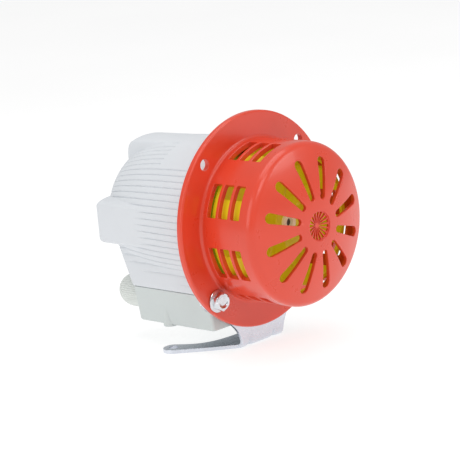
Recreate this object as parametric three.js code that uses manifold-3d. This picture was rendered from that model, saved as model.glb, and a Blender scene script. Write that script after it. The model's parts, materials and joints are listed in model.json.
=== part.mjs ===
// Motor-driven alarm siren on a pressed steel foot bracket.
// Millimetres, +Z up. The siren axis runs along Y and the sound grille faces -Y.
// Shapes are drawn in the siren frame, whose origin is the centre of the flange's front face,
// and the whole group is then moved so that the underside of the bracket foot lies at z = 0.
import * as THREE from 'three';
import { mergeVertices } from 'three/addons/utils/BufferGeometryUtils.js';
import Module from 'manifold-3d';

const wasm = await Module();
wasm.setup();

// ---- driving dimensions ----
const AXIS_HEIGHT = 94.5;
const ORIGIN_BEHIND_FLANGE = 20;
const GAP = 0.3;

// red front moulding
const FLANGE_RADIUS = 80;
const FLANGE_THICKNESS = 4.3;
const FLANGE_EDGE_ROUND = 1.5;
const BARREL_RADIUS = 60;
const BARREL_INNER = 56;
const BARREL_BASE_FILLET = 2.5;
const FACE_APEX_Y = -60.6;
const FACE_DOME_RADIUS = 150;
const FACE_THICKNESS = 3;
const SHOULDER_FILLET = 7;
const GRILLE_TWIST = -3;
const HOLE_CIRCLE = 70.75;
const HOLE_ANGLES = [45, 135, 225, 315];
const FLANGE_HOLE_RADIUS = 4.25;
const LUG = { halfWidth: 6, frontY: -2.5, inner: 45.5, pilot: 2, pilotY: -1.2 };

// grille slots in the face
const SLOT_COUNT = 12;
const SLOT_INNER_TIP = 19.2;
const SLOT_OUTER_TIP = 49.6;
const SLOT_INNER_ROUND = 2.5;
const SLOT_OUTER_ROUND = 3.8;

// rosette of thin ribs at the centre of the face
const ROSETTE_RADIUS = 10.8;
const ROSETTE_RIBS = 18;
const ROSETTE_DISH = { rimY: -59.4, centreY: -57.4, thickness: 1.6 };
const ROSETTE_GAP = { from: 3.4, to: 10.2, halfWidth: 1.2 };

// windows around the barrel: groups of three openings between two ribs
const WINDOW_GROUPS = 8;
const WINDOW_HALF_ANGLE = 12;
const WINDOW_ROWS = [[-13.6, -5.5], [-25.2, -16.3], [-36.5, -27.9]];

// yellow rotor
const ROTOR_RADIUS = 53.5;
const ROTOR_WALL = 3.5;
const ROTOR_FRONT_Y = -38;
const ROTOR_BACK_Y = -4;
const ROTOR_DISC = 3;
const ROTOR_SEGMENTS = 8;
const ROTOR_SEGMENT_START = 151.5;
const ROTOR_SEGMENT_ANGLE = 22.5;
const ROTOR_RIM = 2.5;
const HUB_RADIUS = 13.5;
const HUB_BORE = 7.2;
const HUB_FRONT_Y = -29.9;
const BUSH = { inner: 3.4, outer: 6.5, frontY: -31.5, backY: -5 };
const VANE = { frontY: -20, halfThickness: 1, afterSegment: 2 };

// layer between flange and rear housing: motor plate inside, bracket yoke below
const LAYER_FRONT = FLANGE_THICKNESS + GAP;
const SHEET = 3;
const LAYER_BACK = LAYER_FRONT + SHEET;

// grey rear housing
const HOUSING_FRONT_Y = LAYER_BACK + GAP;
const HOUSING_RADIUS = 60;
const HOUSING_WALL = 3;
const DOME_START_Y = 30;
const REAR_Y = 115;
const DOME_END_RADIUS = 40;
const DOME_STEPS = 5;
const RIB_COUNT = 76;
const RIB_GROOVE_DEPTH = 0.8;
const RIB_GROOVE_HALF_ANGLE = 1.0;
const LABEL_PATCH = { from: 99.5, to: 133.4, endY: 58 };
const SKIRT_HALF_WIDTH = 50;
const SEAM_Z = -48.3;
const REAR_SLOPE = 10.5 / 27.3;
const BOSS = { halfWidth: 18, foot: 36 };
const BOSS_TOP = { front: 60.1, rear: 57.4, rearRound: 8, corner: 3, planRound: 2 };
const BOSS_SIDE = { front: 58.6, rear: 57.6, rearRound: 6, corner: 8, planRound: 6 };
const SCREW_CIRCLE = 51;
const SCREW_ANGLES = { top: 0, left: 90, right: -90 };
const SCREW_SHANK = 1.6;
const SCREW_BORE = 2.3;
const SCREW_HEAD = { radius: 3.9, height: 4, counterbore: 4.4, recess: 8, socket: 3 };
const SCREW_COLUMN = 5;

// lower terminal box
const BOX_FRONT_Y = 9;
const BOX_REAR_TOP_Y = 88;
const BOX_REAR_BOTTOM_Y = 87;
const BOX_CORNER = 2.5;
const BOX_BOTTOM_Z = -75.5;
const BOX_TAPER = 3;
const BOX_WALL = 2.8;
const BOX_TOP_Z = SEAM_Z - GAP;
const BOX_RIM = { depth: 3.2, inset: 4.4, grooveFrom: 1.5, grooveTo: 3.5, grooveDepth: 1.5 };
const GASKET = { from: 1.8, to: 3.2, height: 1.2 };
const BOX_SCREW = {
  x: 44, y: 57, shank: 1.5, head: 3.4, topZ: -39, bore: 2.1, counterbore: 3.9, column: 4.5,
};
const BOX_CONE = { topZ: -60, topRadius: 4.6, bottomRadius: 5.5, below: 1.3 };
const POCKET_CORNER = { x: 39, y: 17, bottomZ: -61 };

// cable gland on the box's rear wall
const GLAND_X = -28;
const GLAND_Z = -58.6;
const GLAND_FACE_Y = 90;
const GLAND_RADIUS = 13;
const GLAND_END_Y = 120.5;
const GLAND_THREAD = 8.1;
const GLAND_HOLE = 8.4;
const GLAND_BORE = 6.6;
const GLAND_COLLAR = 3.5;
const GLAND_SEAL = { outer: 6.3, inner: 4.6, length: 9 };
const GLAND_OUTLET = 5.4;
const GLAND_FLUTES = { count: 24, depth: 0.4 };

// foot bracket
const BOLT_X = HOLE_CIRCLE * Math.SQRT1_2;
const EAR_RADIUS = 9;
const BOLT_HEX = 12.6;
const BOLT_SHANK = 3.9;
const BOLT_WASHER = { radius: 8.4, frontY: -1.7 };
const BOLT_HEAD_Y = -6.6;
const BOLT_END_Y = 13.2;
const BOLT_DISH = { radius: 4.2, depth: 0.8 };
const NUT_HEIGHT = 4.2;
const NUT_BORE = 4.2;
const NUT_POCKET = { radius: 7.8, wall: 9.6, endY: 14.2, wallEndY: 16.5 };
const BEND_INNER = 3;
const BRACKET_NECK_HALF = 22.5;
const FOOT_TOP_Z = -AXIS_HEIGHT + SHEET;
const BEND_Y = LAYER_BACK + BEND_INNER;
const BEND_Z = FOOT_TOP_Z + BEND_INNER;
const FOOT_TIP = { x: 50, y: 50, radius: 8, hole: 3.5 };
const DART = { x: 13, leg: 7, webHalf: 2.2, dentHalf: 1.4, dentLeg: 8.6 };

// motor
const SHAFT_RADIUS = 4;
const MOTOR_RADIUS = 44;
const CORE_FRONT_Y = 25.3;
const CORE_BACK_Y = 57.3;
const MOTOR_BACK_Y = 85.6;
const STATOR_INNER = 38;
const SHIELD_INNER = 38.6;
const POLE = { inner: 21.6, shoe: 25, halfWidth: 10, halfAngle: 58 };
const COIL = { halfWidth: 19, overhang: 7.5, low: 25.4, high: 32.3, corner: 6, window: 10.4 };
const ARMATURE_RADIUS = 20.8;
const ARMATURE_SLOTS = 12;
const ARMATURE_SLOT = { floor: 10.5, halfWidth: 1.6 };
const WINDING = { frontY: 20.4, backY: 64, inner: 8, outer: 15, barHalf: 1.2, barFrom: 11, barTo: 18.5 };
const COMMUTATOR = { radius: 11, from: 65, to: 80, collar: 1.2, collarLength: 2 };
const COMMUTATOR_CUT = { count: 12, halfWidth: 0.25, floor: 9.8 };
const BRUSH = { y: 74, halfX: 2.6, halfY: 4, top: 24 };
const BRUSH_HOLDER = { halfX: 4.2, halfY: 5.6, low: 14, top: 37.8, wall: 1.3, roof: 1.4 };
const BRUSH_SPRING = { low: 24.5, high: 35.9, radius: 2, wire: 0.35, turns: 4 };
const BEARING = { outer: 11, outerInner: 6.4, innerOuter: 6.1, width: 7 };
const BEARING_SEAT_PLAY = 0.2;
const FRONT_BEARING_Y = LAYER_BACK + GAP + 2.5;
const REAR_BEARING_Y = 84.2;
const SHIELD_HOLE = 5.2;
const SHIELD_BOSS = 14;
const SHIELD_BOSS_END_Y = 93.5;
const SHAFT_END_Y = 95.7;
const THROUGH_BOLT = { x: 41, shank: 1.9, bore: 2.3, hex: 6, headHeight: 3 };

// fittings inside the terminal box
const BOX_FLOOR_Z = BOX_BOTTOM_Z + BOX_WALL + GAP;
const BLOCK = { x0: -12, x1: 24, y0: 34, y1: 52, z1: -57 };
const BLOCK_HOLE = { entry: 5, wire: 2.2, screw: 2.3, divider: 0.8 };
const TERMINALS = 3;
const TERMINAL_SCREW = { radius: 1.9, offset: 4, slotHalf: 0.35 };
const EARTH_SCREW = { x: -32, y: 30, washer: 4, hex: 7, height: 4.5 };
const CAPACITOR = { x0: -16, x1: 12, y0: 62, y1: 74, height: 6 };

// ---- small tools ----
const degrees = THREE.MathUtils.degToRad;

function solid(geometry) {
  const plain = geometry.index ? geometry.toNonIndexed() : geometry.clone();
  for (const name of Object.keys(plain.attributes)) {
    if (name !== 'position') plain.deleteAttribute(name);
  }
  const merged = mergeVertices(plain, 1e-4);
  const triangles = [];
  const index = merged.index.array;
  for (let i = 0; i < index.length; i += 3) {
    const [a, b, c] = [index[i], index[i + 1], index[i + 2]];
    if (a !== b && b !== c && c !== a) triangles.push(a, b, c);
  }
  return new wasm.Manifold(new wasm.Mesh({
    numProp: 3,
    vertProperties: new Float32Array(merged.attributes.position.array),
    triVerts: new Uint32Array(triangles),
  }));
}

function geometryOf(manifold) {
  const { vertProperties, triVerts } = manifold.getMesh();
  const geometry = new THREE.BufferGeometry();
  geometry.setAttribute('position', new THREE.BufferAttribute(new Float32Array(vertProperties), 3));
  geometry.setIndex(new THREE.BufferAttribute(new Uint32Array(triVerts), 1));
  geometry.computeVertexNormals();
  return geometry;
}

function joined(solids) {
  return solids.reduce((whole, next) => whole.add(next));
}

// Points of an arc in a profile or outline; angles in degrees.
function arc(cx, cy, radius, from, to, steps) {
  return Array.from({ length: steps + 1 }, (_, i) => {
    const angle = degrees(from + (to - from) * i / steps);
    return new THREE.Vector2(cx + radius * Math.cos(angle), cy + radius * Math.sin(angle));
  });
}

function polar(radius, angle) {
  return new THREE.Vector2(radius * Math.cos(degrees(angle)), radius * Math.sin(degrees(angle)));
}

function points(...pairs) {
  return pairs.map(([a, b]) => new THREE.Vector2(a, b));
}

// A body of revolution about the siren axis; the profile is (radius, y), counter-clockwise.
function revolved(profile, segments = 24) {
  return solid(new THREE.LatheGeometry([...profile, profile[0]], segments));
}

// A plain ring or disc on the siren axis.
function ring(inner, outer, y0, y1, segments = 24) {
  return revolved(points([inner, y0], [outer, y0], [outer, y1], [inner, y1]), segments);
}

function extruded(shape, depth, curveSegments) {
  return new THREE.ExtrudeGeometry(shape, { depth, bevelEnabled: false, curveSegments });
}

// An outline (x, z) given thickness along Y.
function plateXZ(shape, y0, y1, curveSegments = 12) {
  return solid(extruded(shape, y1 - y0, curveSegments).rotateX(Math.PI / 2).translate(0, y1, 0));
}

// An outline (x, y) given thickness along Z.
function plateXY(shape, z0, z1, curveSegments = 12) {
  return solid(extruded(shape, z1 - z0, curveSegments).translate(0, 0, z0));
}

// An outline (y, z) given thickness along X.
function plateYZ(shape, x0, x1, curveSegments = 12) {
  const turn = new THREE.Matrix4().makeBasis(
    new THREE.Vector3(0, 1, 0), new THREE.Vector3(0, 0, 1), new THREE.Vector3(1, 0, 0));
  return solid(extruded(shape, x1 - x0, curveSegments).applyMatrix4(turn).translate(x0, 0, 0));
}

function block(x0, x1, y0, y1, z0, z1) {
  const geometry = new THREE.BoxGeometry(x1 - x0, y1 - y0, z1 - z0);
  return solid(geometry.translate((x0 + x1) / 2, (y0 + y1) / 2, (z0 + z1) / 2));
}

function rodY(x, z, radius, y0, y1, segments = 16) {
  const geometry = new THREE.CylinderGeometry(radius, radius, y1 - y0, segments);
  return solid(geometry.translate(x, (y0 + y1) / 2, z));
}

function rodZ(x, y, radius, z0, z1, segments = 16, topRadius = radius) {
  const geometry = new THREE.CylinderGeometry(topRadius, radius, z1 - z0, segments);
  return solid(geometry.rotateX(Math.PI / 2).translate(x, y, (z0 + z1) / 2));
}

// Turns a solid about the siren axis, counter-clockwise as seen from the front.
function turned(manifold, angle) {
  return manifold.rotate([0, -angle, 0]);
}

function outline(list) {
  return new THREE.Shape(list);
}

// A sector of a ring in the (x, z) plane.
function sector(inner, outer, from, to, steps = 2) {
  return outline([...arc(0, 0, outer, from, to, steps), ...arc(0, 0, inner, to, from, steps)]);
}

function roundedRectangle(x0, x1, y0, y1, radius, steps = 4) {
  return outline([
    ...arc(x1 - radius, y1 - radius, radius, 0, 90, steps),
    ...arc(x0 + radius, y1 - radius, radius, 90, 180, steps),
    ...arc(x0 + radius, y0 + radius, radius, 180, 270, steps),
    ...arc(x1 - radius, y0 + radius, radius, 270, 360, steps),
  ]);
}

function hexagon(acrossFlats) {
  return outline(arc(0, 0, acrossFlats / Math.sqrt(3), 0, 300, 5));
}

// ---- assembly ----
const siren = new THREE.Group();
siren.name = 'alarm_siren';

function addPart(name, manifold, color, roughness, metalness = 0) {
  const material = new THREE.MeshStandardMaterial({ color, roughness, metalness });
  const mesh = new THREE.Mesh(geometryOf(manifold), material);
  mesh.name = name;
  siren.add(mesh);
}

// ---- front housing: flange, barrel, domed face, windows, slots and rosette in one moulding ----
function domeShell(radius, barrel, fillet, steps) {
  const centreY = FACE_APEX_Y + FACE_DOME_RADIUS;
  const filletR = barrel - fillet;
  const filletY = centreY - Math.sqrt((radius - fillet) ** 2 - filletR ** 2);
  const contact = THREE.MathUtils.radToDeg(Math.atan2(filletY - centreY, filletR));
  return [
    ...arc(0, centreY, radius, -90, contact, steps),
    ...arc(filletR, filletY, fillet, contact, 0, steps).slice(1),
  ];
}

function frontHousing() {
  const outer = domeShell(FACE_DOME_RADIUS, BARREL_RADIUS, SHOULDER_FILLET, 3);
  const inner = domeShell(FACE_DOME_RADIUS - FACE_THICKNESS, BARREL_INNER, SHOULDER_FILLET / 2, 2);
  const base = BARREL_BASE_FILLET;
  const edge = FLANGE_EDGE_ROUND;
  const profile = [
    ...outer,
    ...arc(BARREL_RADIUS + base, -base, base, 180, 90, 2),
    ...arc(FLANGE_RADIUS - edge, edge, edge, -90, 0, 2),
    ...points([FLANGE_RADIUS, FLANGE_THICKNESS], [BARREL_INNER, FLANGE_THICKNESS]),
    ...inner.reverse(),
  ];
  const lug = block(-LUG.halfWidth, LUG.halfWidth, LUG.frontY, FLANGE_THICKNESS, LUG.inner, BARREL_INNER + 1)
    .subtract(rodY(0, SCREW_CIRCLE, LUG.pilot, LUG.pilotY, FLANGE_THICKNESS + 1, 12));
  const lugs = Object.values(SCREW_ANGLES).map((angle) => turned(lug, angle));
  return joined([revolved(profile, 48), ...lugs])
    .subtract(windowCutters())
    .subtract(slotCutters())
    .subtract(flangeHoles())
    .subtract(rodY(0, 0, ROSETTE_RADIUS, FACE_APEX_Y - 1, FACE_APEX_Y + 5, 2 * ROSETTE_RIBS))
    .add(rosette());
}

function windowCutters() {
  const cutters = [];
  for (let group = 0; group < WINDOW_GROUPS; group += 1) {
    const middle = 22.5 + 45 * group + GRILLE_TWIST;
    const shape = sector(
      BARREL_INNER - 4, BARREL_RADIUS + 4, middle - WINDOW_HALF_ANGLE, middle + WINDOW_HALF_ANGLE);
    for (const [y0, y1] of WINDOW_ROWS) cutters.push(plateXZ(shape, y0, y1));
  }
  return joined(cutters);
}

function slotCutters() {
  const innerCentre = SLOT_INNER_TIP + SLOT_INNER_ROUND;
  const outerCentre = SLOT_OUTER_TIP - SLOT_OUTER_ROUND;
  const flare = THREE.MathUtils.radToDeg(
    Math.asin((SLOT_OUTER_ROUND - SLOT_INNER_ROUND) / (outerCentre - innerCentre)));
  const shape = outline([
    ...arc(outerCentre, 0, SLOT_OUTER_ROUND, -90 - flare, 90 + flare, 5),
    ...arc(innerCentre, 0, SLOT_INNER_ROUND, 90 + flare, 270 - flare, 3),
  ]);
  const slot = plateXZ(shape, FACE_APEX_Y - 1, FACE_APEX_Y + 15);
  const slots = [];
  for (let i = 0; i < SLOT_COUNT; i += 1) slots.push(turned(slot, 15 + 30 * i + GRILLE_TWIST));
  return joined(slots);
}

function flangeHoles() {
  const hole = rodY(HOLE_CIRCLE, 0, FLANGE_HOLE_RADIUS, -1, FLANGE_THICKNESS + 1, 16);
  return joined(HOLE_ANGLES.map((angle) => turned(hole, angle)));
}

function rosette() {
  const rim = ROSETTE_RADIUS + 0.4;
  const { rimY, centreY, thickness } = ROSETTE_DISH;
  const { from, to, halfWidth } = ROSETTE_GAP;
  const dish = revolved(
    points([0, centreY], [rim, rimY], [rim, rimY + thickness], [0, centreY + thickness]), ROSETTE_RIBS);
  const triangle = outline(points([from, 0], [to, -halfWidth], [to, halfWidth]));
  const gap = plateXZ(triangle, rimY - 1, centreY + thickness + 1);
  const gaps = [];
  for (let i = 0; i < ROSETTE_RIBS; i += 1) gaps.push(turned(gap, i * 360 / ROSETTE_RIBS));
  return dish.subtract(joined(gaps));
}

addPart('front_housing', frontHousing(), 0xd8402c, 0.25);

// ---- rear housing: ribbed barrel with a domed rear, flat bosses and a skirt down to the seam ----
function rearDome(radius, endRadius, endY, overlap) {
  const drop = radius - endRadius;
  const length = endY - DOME_START_Y;
  const curve = [];
  for (let i = 0; i <= DOME_STEPS; i += 1) {
    const angle = degrees(90 * i / DOME_STEPS);
    const [r, y] = [endRadius + drop * Math.cos(angle), DOME_START_Y + length * Math.sin(angle)];
    curve.push(new THREE.Vector2(r, y));
  }
  const front = HOUSING_FRONT_Y - overlap;
  return [...points([0, front], [radius, front]), ...curve, ...points([0, endY])];
}

function ribbedOutline() {
  const pitch = 360 / RIB_COUNT;
  const list = [];
  for (let i = 0; i < RIB_COUNT; i += 1) {
    const groove = 90 + (i + 0.5) * pitch;
    list.push(polar(HOUSING_RADIUS, groove - RIB_GROOVE_HALF_ANGLE));
    list.push(polar(HOUSING_RADIUS - RIB_GROOVE_DEPTH, groove));
    list.push(polar(HOUSING_RADIUS, groove + RIB_GROOVE_HALF_ANGLE));
  }
  return outline(list);
}

function housingBarrel() {
  const plain = revolved(rearDome(HOUSING_RADIUS, DOME_END_RADIUS, REAR_Y, 0), RIB_COUNT / 2);
  const ribbed = plateXZ(ribbedOutline(), HOUSING_FRONT_Y - 1, REAR_Y + 1);
  const patch = plateXZ(
    sector(50, HOUSING_RADIUS + 1, LABEL_PATCH.from, LABEL_PATCH.to, 7), HOUSING_FRONT_Y, LABEL_PATCH.endY);
  return plain.intersect(ribbed.add(patch));
}

// Flat-topped boss that stays straight while the dome falls away; drawn at the top.
function housingBoss({ front, rear, rearRound, corner, planRound }) {
  const { halfWidth, foot: footHeight } = BOSS;
  const side = outline([
    ...points([HOUSING_FRONT_Y, footHeight], [REAR_Y, footHeight]),
    ...arc(REAR_Y - rearRound, rear - rearRound, rearRound, 0, 90, 4),
    ...points([HOUSING_FRONT_Y, front]),
  ]);
  const end = roundedRectangle(-halfWidth, halfWidth, footHeight - 2 * corner, front, corner, 4);
  const plan = roundedRectangle(-halfWidth, halfWidth, -REAR_Y, REAR_Y, planRound, 3);
  return plateYZ(side, -halfWidth, halfWidth)
    .intersect(plateXZ(end, 0, REAR_Y + 1))
    .intersect(plateXY(plan, 0, FLANGE_RADIUS));
}

function slopeY(z) {
  return BOX_REAR_TOP_Y + REAR_SLOPE * (z - SEAM_Z);
}

function belowSlope(inset) {
  const [low, high] = [SEAM_Z - 20, -BOSS.halfWidth + inset];
  const shape = outline(points(
    [slopeY(low) - inset, low], [REAR_Y + 20, low], [REAR_Y + 20, high], [slopeY(high) - inset, high]));
  return plateYZ(shape, -FLANGE_RADIUS, FLANGE_RADIUS);
}

function skirt(inset, bottomZ) {
  const bendZ = -BOSS.halfWidth - 2;
  const rearY = slopeY(bendZ) - inset;
  const frontY = HOUSING_FRONT_Y + inset;
  const shape = outline(points(
    [frontY, bottomZ], [slopeY(bottomZ) - inset, bottomZ], [rearY, bendZ], [rearY, 0], [frontY, 0]));
  return plateYZ(shape, -SKIRT_HALF_WIDTH + inset, SKIRT_HALF_WIDTH - inset);
}

function nutPockets(radius, y0, y1) {
  return joined([-BOLT_X, BOLT_X].map((x) => rodY(x, -BOLT_X, radius, y0, y1, 16)));
}

function rearHousing() {
  const sideBoss = housingBoss(BOSS_SIDE);
  const { front: crownFront, rear: crownRear } = BOSS_TOP;
  const crown = revolved(points(
    [0, HOUSING_FRONT_Y], [crownFront, HOUSING_FRONT_Y], [crownRear, REAR_Y], [0, REAR_Y]), RIB_COUNT);
  const bosses = [
    housingBoss(BOSS_TOP).intersect(crown),
    turned(sideBoss, SCREW_ANGLES.left),
    turned(sideBoss, SCREW_ANGLES.right),
  ];
  const envelope = joined([housingBarrel().subtract(belowSlope(0)), skirt(0, SEAM_Z), ...bosses]);
  const belowSeam = block(-FLANGE_RADIUS, FLANGE_RADIUS, 0, REAR_Y + 10, -FLANGE_RADIUS, SEAM_Z);
  const inside = revolved(
    rearDome(HOUSING_RADIUS - HOUSING_WALL, DOME_END_RADIUS - 2, REAR_Y - HOUSING_WALL, 2), 32)
    .subtract(belowSlope(HOUSING_WALL));
  const column = rodY(0, SCREW_CIRCLE, SCREW_COLUMN, HOUSING_FRONT_Y, REAR_Y - 1, 16);
  const bore = rodY(0, SCREW_CIRCLE, SCREW_BORE, HOUSING_FRONT_Y - 1, REAR_Y + 1, 12)
    .add(rodY(0, SCREW_CIRCLE, SCREW_HEAD.counterbore, REAR_Y - SCREW_HEAD.recess, REAR_Y + 1, 16));
  const angles = Object.values(SCREW_ANGLES);
  const { y: screwY, column: columnRadius, shank, topZ } = BOX_SCREW;
  const sides = [-BOX_SCREW.x, BOX_SCREW.x];
  const lowerColumns = sides.map((x) => rodZ(x, screwY, columnRadius, SEAM_Z, topZ + 3, 16));
  const lowerBores = sides.map((x) => rodZ(x, screwY, shank + GAP, SEAM_Z - 1, topZ + 0.5, 12));
  const pocketWall = nutPockets(NUT_POCKET.wall, HOUSING_FRONT_Y, NUT_POCKET.wallEndY)
    .intersect(skirt(0, SEAM_Z));
  const additions = [...angles.map((angle) => turned(column, angle)), ...lowerColumns, pocketWall];
  return joined([envelope.subtract(inside).subtract(skirt(HOUSING_WALL, SEAM_Z - 2)), ...additions])
    .subtract(joined([...angles.map((angle) => turned(bore, angle)), ...lowerBores]))
    .subtract(nutPockets(NUT_POCKET.radius, HOUSING_FRONT_Y - 1, NUT_POCKET.endY))
    .subtract(belowSeam);
}

addPart('rear_housing', rearHousing(), 0xd9dde1, 0.6);

// ---- terminal box below the seam ----
// Four-sided tapered tray: a block whose lower corners are drawn in.
function taperedTray(inset, topZ, bottomZ) {
  const shape = roundedRectangle(-SKIRT_HALF_WIDTH + inset, SKIRT_HALF_WIDTH - inset,
    BOX_FRONT_Y + inset, BOX_REAR_TOP_Y - inset, BOX_CORNER - inset / 2, 3);
  const geometry = extruded(shape, topZ - bottomZ, 4).translate(0, 0, bottomZ);
  const position = geometry.attributes.position;
  for (let i = 0; i < position.count; i += 1) {
    const depth = (BOX_TOP_Z - position.getZ(i)) / (BOX_TOP_Z - BOX_BOTTOM_Z);
    position.setX(i, position.getX(i) * (1 - depth * BOX_TAPER / SKIRT_HALF_WIDTH));
    const rearward = (position.getY(i) - BOX_FRONT_Y) / (BOX_REAR_TOP_Y - BOX_FRONT_Y);
    position.setY(i, position.getY(i) - depth * rearward * (BOX_REAR_TOP_Y - BOX_REAR_BOTTOM_Y));
  }
  return solid(geometry);
}

// Outline of the sealing rim, set in from the box's edge and stepped round the two nut pockets.
function rimOutline(inset) {
  const [x, notchX] = [SKIRT_HALF_WIDTH - inset, POCKET_CORNER.x - inset];
  const [front, notchY, rear] = [BOX_FRONT_Y + inset, POCKET_CORNER.y + inset, BOX_REAR_TOP_Y - inset];
  return outline(points([-notchX, front], [notchX, front], [notchX, notchY], [x, notchY],
    [x, rear], [-x, rear], [-x, notchY], [-notchX, notchY]));
}

function rimBand(outerInset, innerInset, z0, z1) {
  return plateXY(rimOutline(outerInset), z0, z1)
    .subtract(plateXY(rimOutline(innerInset), z0 - 1, z1 + 1));
}

function terminalBox() {
  const tray = taperedTray(0, BOX_TOP_Z, BOX_BOTTOM_Z);
  const rimBottomZ = BOX_TOP_Z - BOX_RIM.depth;
  const inside = taperedTray(BOX_WALL, rimBottomZ, BOX_BOTTOM_Z + BOX_WALL)
    .add(plateXY(rimOutline(BOX_RIM.inset), rimBottomZ - 1, BOX_TOP_Z + 1));
  const corner = block(
    POCKET_CORNER.x, FLANGE_RADIUS, BOX_FRONT_Y, POCKET_CORNER.y, POCKET_CORNER.bottomZ, BOX_TOP_Z);
  const pocketBlocks = joined([corner, corner.mirror([1, 0, 0])]).intersect(tray);
  const pad = rodY(GLAND_X, GLAND_Z, GLAND_HOLE + 1.5, 80, GLAND_FACE_Y, 24).subtract(inside);
  const { x: screwX, y, bore, counterbore, column } = BOX_SCREW;
  const { topZ, topRadius, bottomRadius, below } = BOX_CONE;
  const sides = [-screwX, screwX];
  const cones = sides.map((x) => rodZ(x, y, bottomRadius, BOX_BOTTOM_Z - below, topZ, 20, topRadius));
  const columns = sides.map((x) => rodZ(x, y, column, BOX_BOTTOM_Z, BOX_TOP_Z, 16));
  const bores = sides.flatMap((x) => [
    rodZ(x, y, bore, BOX_BOTTOM_Z - 3, BOX_TOP_Z + 1, 12),
    rodZ(x, y, counterbore, BOX_BOTTOM_Z - 3, BOX_BOTTOM_Z + 2.2, 16),
  ]);
  const { grooveFrom, grooveTo, grooveDepth } = BOX_RIM;
  return joined([tray.subtract(inside), pocketBlocks, pad, ...cones, ...columns])
    .subtract(joined(bores))
    .subtract(rimBand(grooveFrom, grooveTo, BOX_TOP_Z - grooveDepth, BOX_TOP_Z + 1))
    .subtract(nutPockets(NUT_POCKET.radius, 0, NUT_POCKET.endY))
    .subtract(rodY(GLAND_X, GLAND_Z, GLAND_HOLE, 76, GLAND_FACE_Y + 1, 24));
}

addPart('terminal_box', terminalBox(), 0xcfd6d4, 0.6);
addPart('box_gasket', rimBand(GASKET.from, GASKET.to, BOX_TOP_Z - GASKET.height, BOX_TOP_Z), 0x2b2b2b, 0.9);

// Pan-head screw standing upright under the box, with a cross recess.
function boxScrew(x) {
  const { y, head, shank, topZ } = BOX_SCREW;
  const seatZ = BOX_BOTTOM_Z + 2.2 - GAP;
  const cross = [[1.9, 0.4], [0.4, 1.9]].map(([a, b]) => block(
    x - a, x + a, y - b, y + b, seatZ - 3, seatZ - 1.1));
  return rodZ(x, y, head, seatZ - 2.5, seatZ, 20)
    .add(rodZ(x, y, shank, seatZ - 0.1, topZ, 12))
    .subtract(joined(cross));
}

addPart('box_screw_left', boxScrew(-BOX_SCREW.x), 0xb9bcc0, 0.35, 1);
addPart('box_screw_right', boxScrew(BOX_SCREW.x), 0xb9bcc0, 0.35, 1);

// ---- long screws that clamp rear housing, motor plate and front housing together ----
function housingScrew(angle) {
  const { radius, height, recess, socket } = SCREW_HEAD;
  const headY = REAR_Y - recess + GAP;
  const screw = rodY(0, 0, radius, headY, headY + height, 20)
    .add(rodY(0, 0, SCREW_SHANK, LUG.pilotY + 0.4, headY + 0.5, 12))
    .subtract(plateXZ(hexagon(socket), headY + height / 2, headY + height + 1));
  return turned(screw.translate([0, 0, SCREW_CIRCLE]), angle);
}

for (const [side, angle] of Object.entries(SCREW_ANGLES)) {
  addPart(`housing_screw_${side}`, housingScrew(angle), 0xb9bcc0, 0.35, 1);
}

// ---- foot bracket: yoke plate, bend and splayed foot pressed from one sheet ----
function mirroredOutline(rightHalf) {
  const leftHalf = rightHalf.slice().reverse().map((p) => new THREE.Vector2(-p.x, p.y));
  return outline([...rightHalf, ...leftHalf.filter((p) => Math.abs(p.x) > 1e-6)]);
}

function yokePlate() {
  const clearance = BARREL_RADIUS + 1.7;
  return plateXZ(mirroredOutline([
    ...points([BRACKET_NECK_HALF, BEND_Z], [23.6, -85], [26.5, -79.5], [31.5, -74], [39, -68], [48, -61.5]),
    ...arc(BOLT_X, -BOLT_X, EAR_RADIUS, -60, 135, 9),
    ...arc(0, 0, clearance, -45, -88, 8),
  ]), LAYER_FRONT, LAYER_BACK);
}

function bracketBend() {
  const section = outline([
    ...arc(BEND_Y, BEND_Z, BEND_INNER + SHEET, 180, 270, 6),
    ...arc(BEND_Y, BEND_Z, BEND_INNER, 270, 180, 6),
  ]);
  return plateYZ(section, -BRACKET_NECK_HALF, BRACKET_NECK_HALF);
}

function foot() {
  const { x, y, radius } = FOOT_TIP;
  return plateXY(mirroredOutline([
    ...points([BRACKET_NECK_HALF, BEND_Y], [24.5, 12.6], [31, 18.4], [38, 25.4], [46, 33.8]),
    ...arc(x, y, radius, -40, 140, 9),
    ...points([39.5, 47.5], [34.3, 41.2], [28, 36.8], [20.6, 34], [11, 32.4], [2, 32]),
  ]), -AXIS_HEIGHT, FOOT_TOP_Z);
}

// Pressed stiffening darts across the bend: a web inside and a dent outside.
function dartAt(x) {
  const { leg, webHalf, dentHalf, dentLeg } = DART;
  const [y, z] = [LAYER_BACK - 0.5, FOOT_TOP_Z - 0.5];
  const web = plateYZ(outline(points([y, z], [y + leg, z], [y, z + leg])), x - webHalf, x + webHalf);
  const [dentY, dentZ] = [LAYER_FRONT - 1, -AXIS_HEIGHT - 1];
  const triangle = outline(points([dentY, dentZ], [dentY + dentLeg, dentZ], [dentY, dentZ + dentLeg]));
  const dent = plateYZ(triangle, x - dentHalf, x + dentHalf);
  return { web, dent };
}

function mountingBracket() {
  const darts = [dartAt(-DART.x), dartAt(DART.x)];
  const boltHoles = [-BOLT_X, BOLT_X].map((x) => rodY(x, -BOLT_X, FLANGE_HOLE_RADIUS, 0, 12));
  const footHoles = [-1, 1].map((side) => rodZ(
    side * FOOT_TIP.x, FOOT_TIP.y, FOOT_TIP.hole, -AXIS_HEIGHT - 1, FOOT_TOP_Z + 1));
  return joined([yokePlate(), bracketBend(), foot(), ...darts.map((dart) => dart.web)])
    .subtract(joined([...darts.map((dart) => dart.dent), ...boltHoles, ...footHoles]));
}

addPart('mounting_bracket', mountingBracket(), 0xc3c8cf, 0.35, 1);

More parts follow.
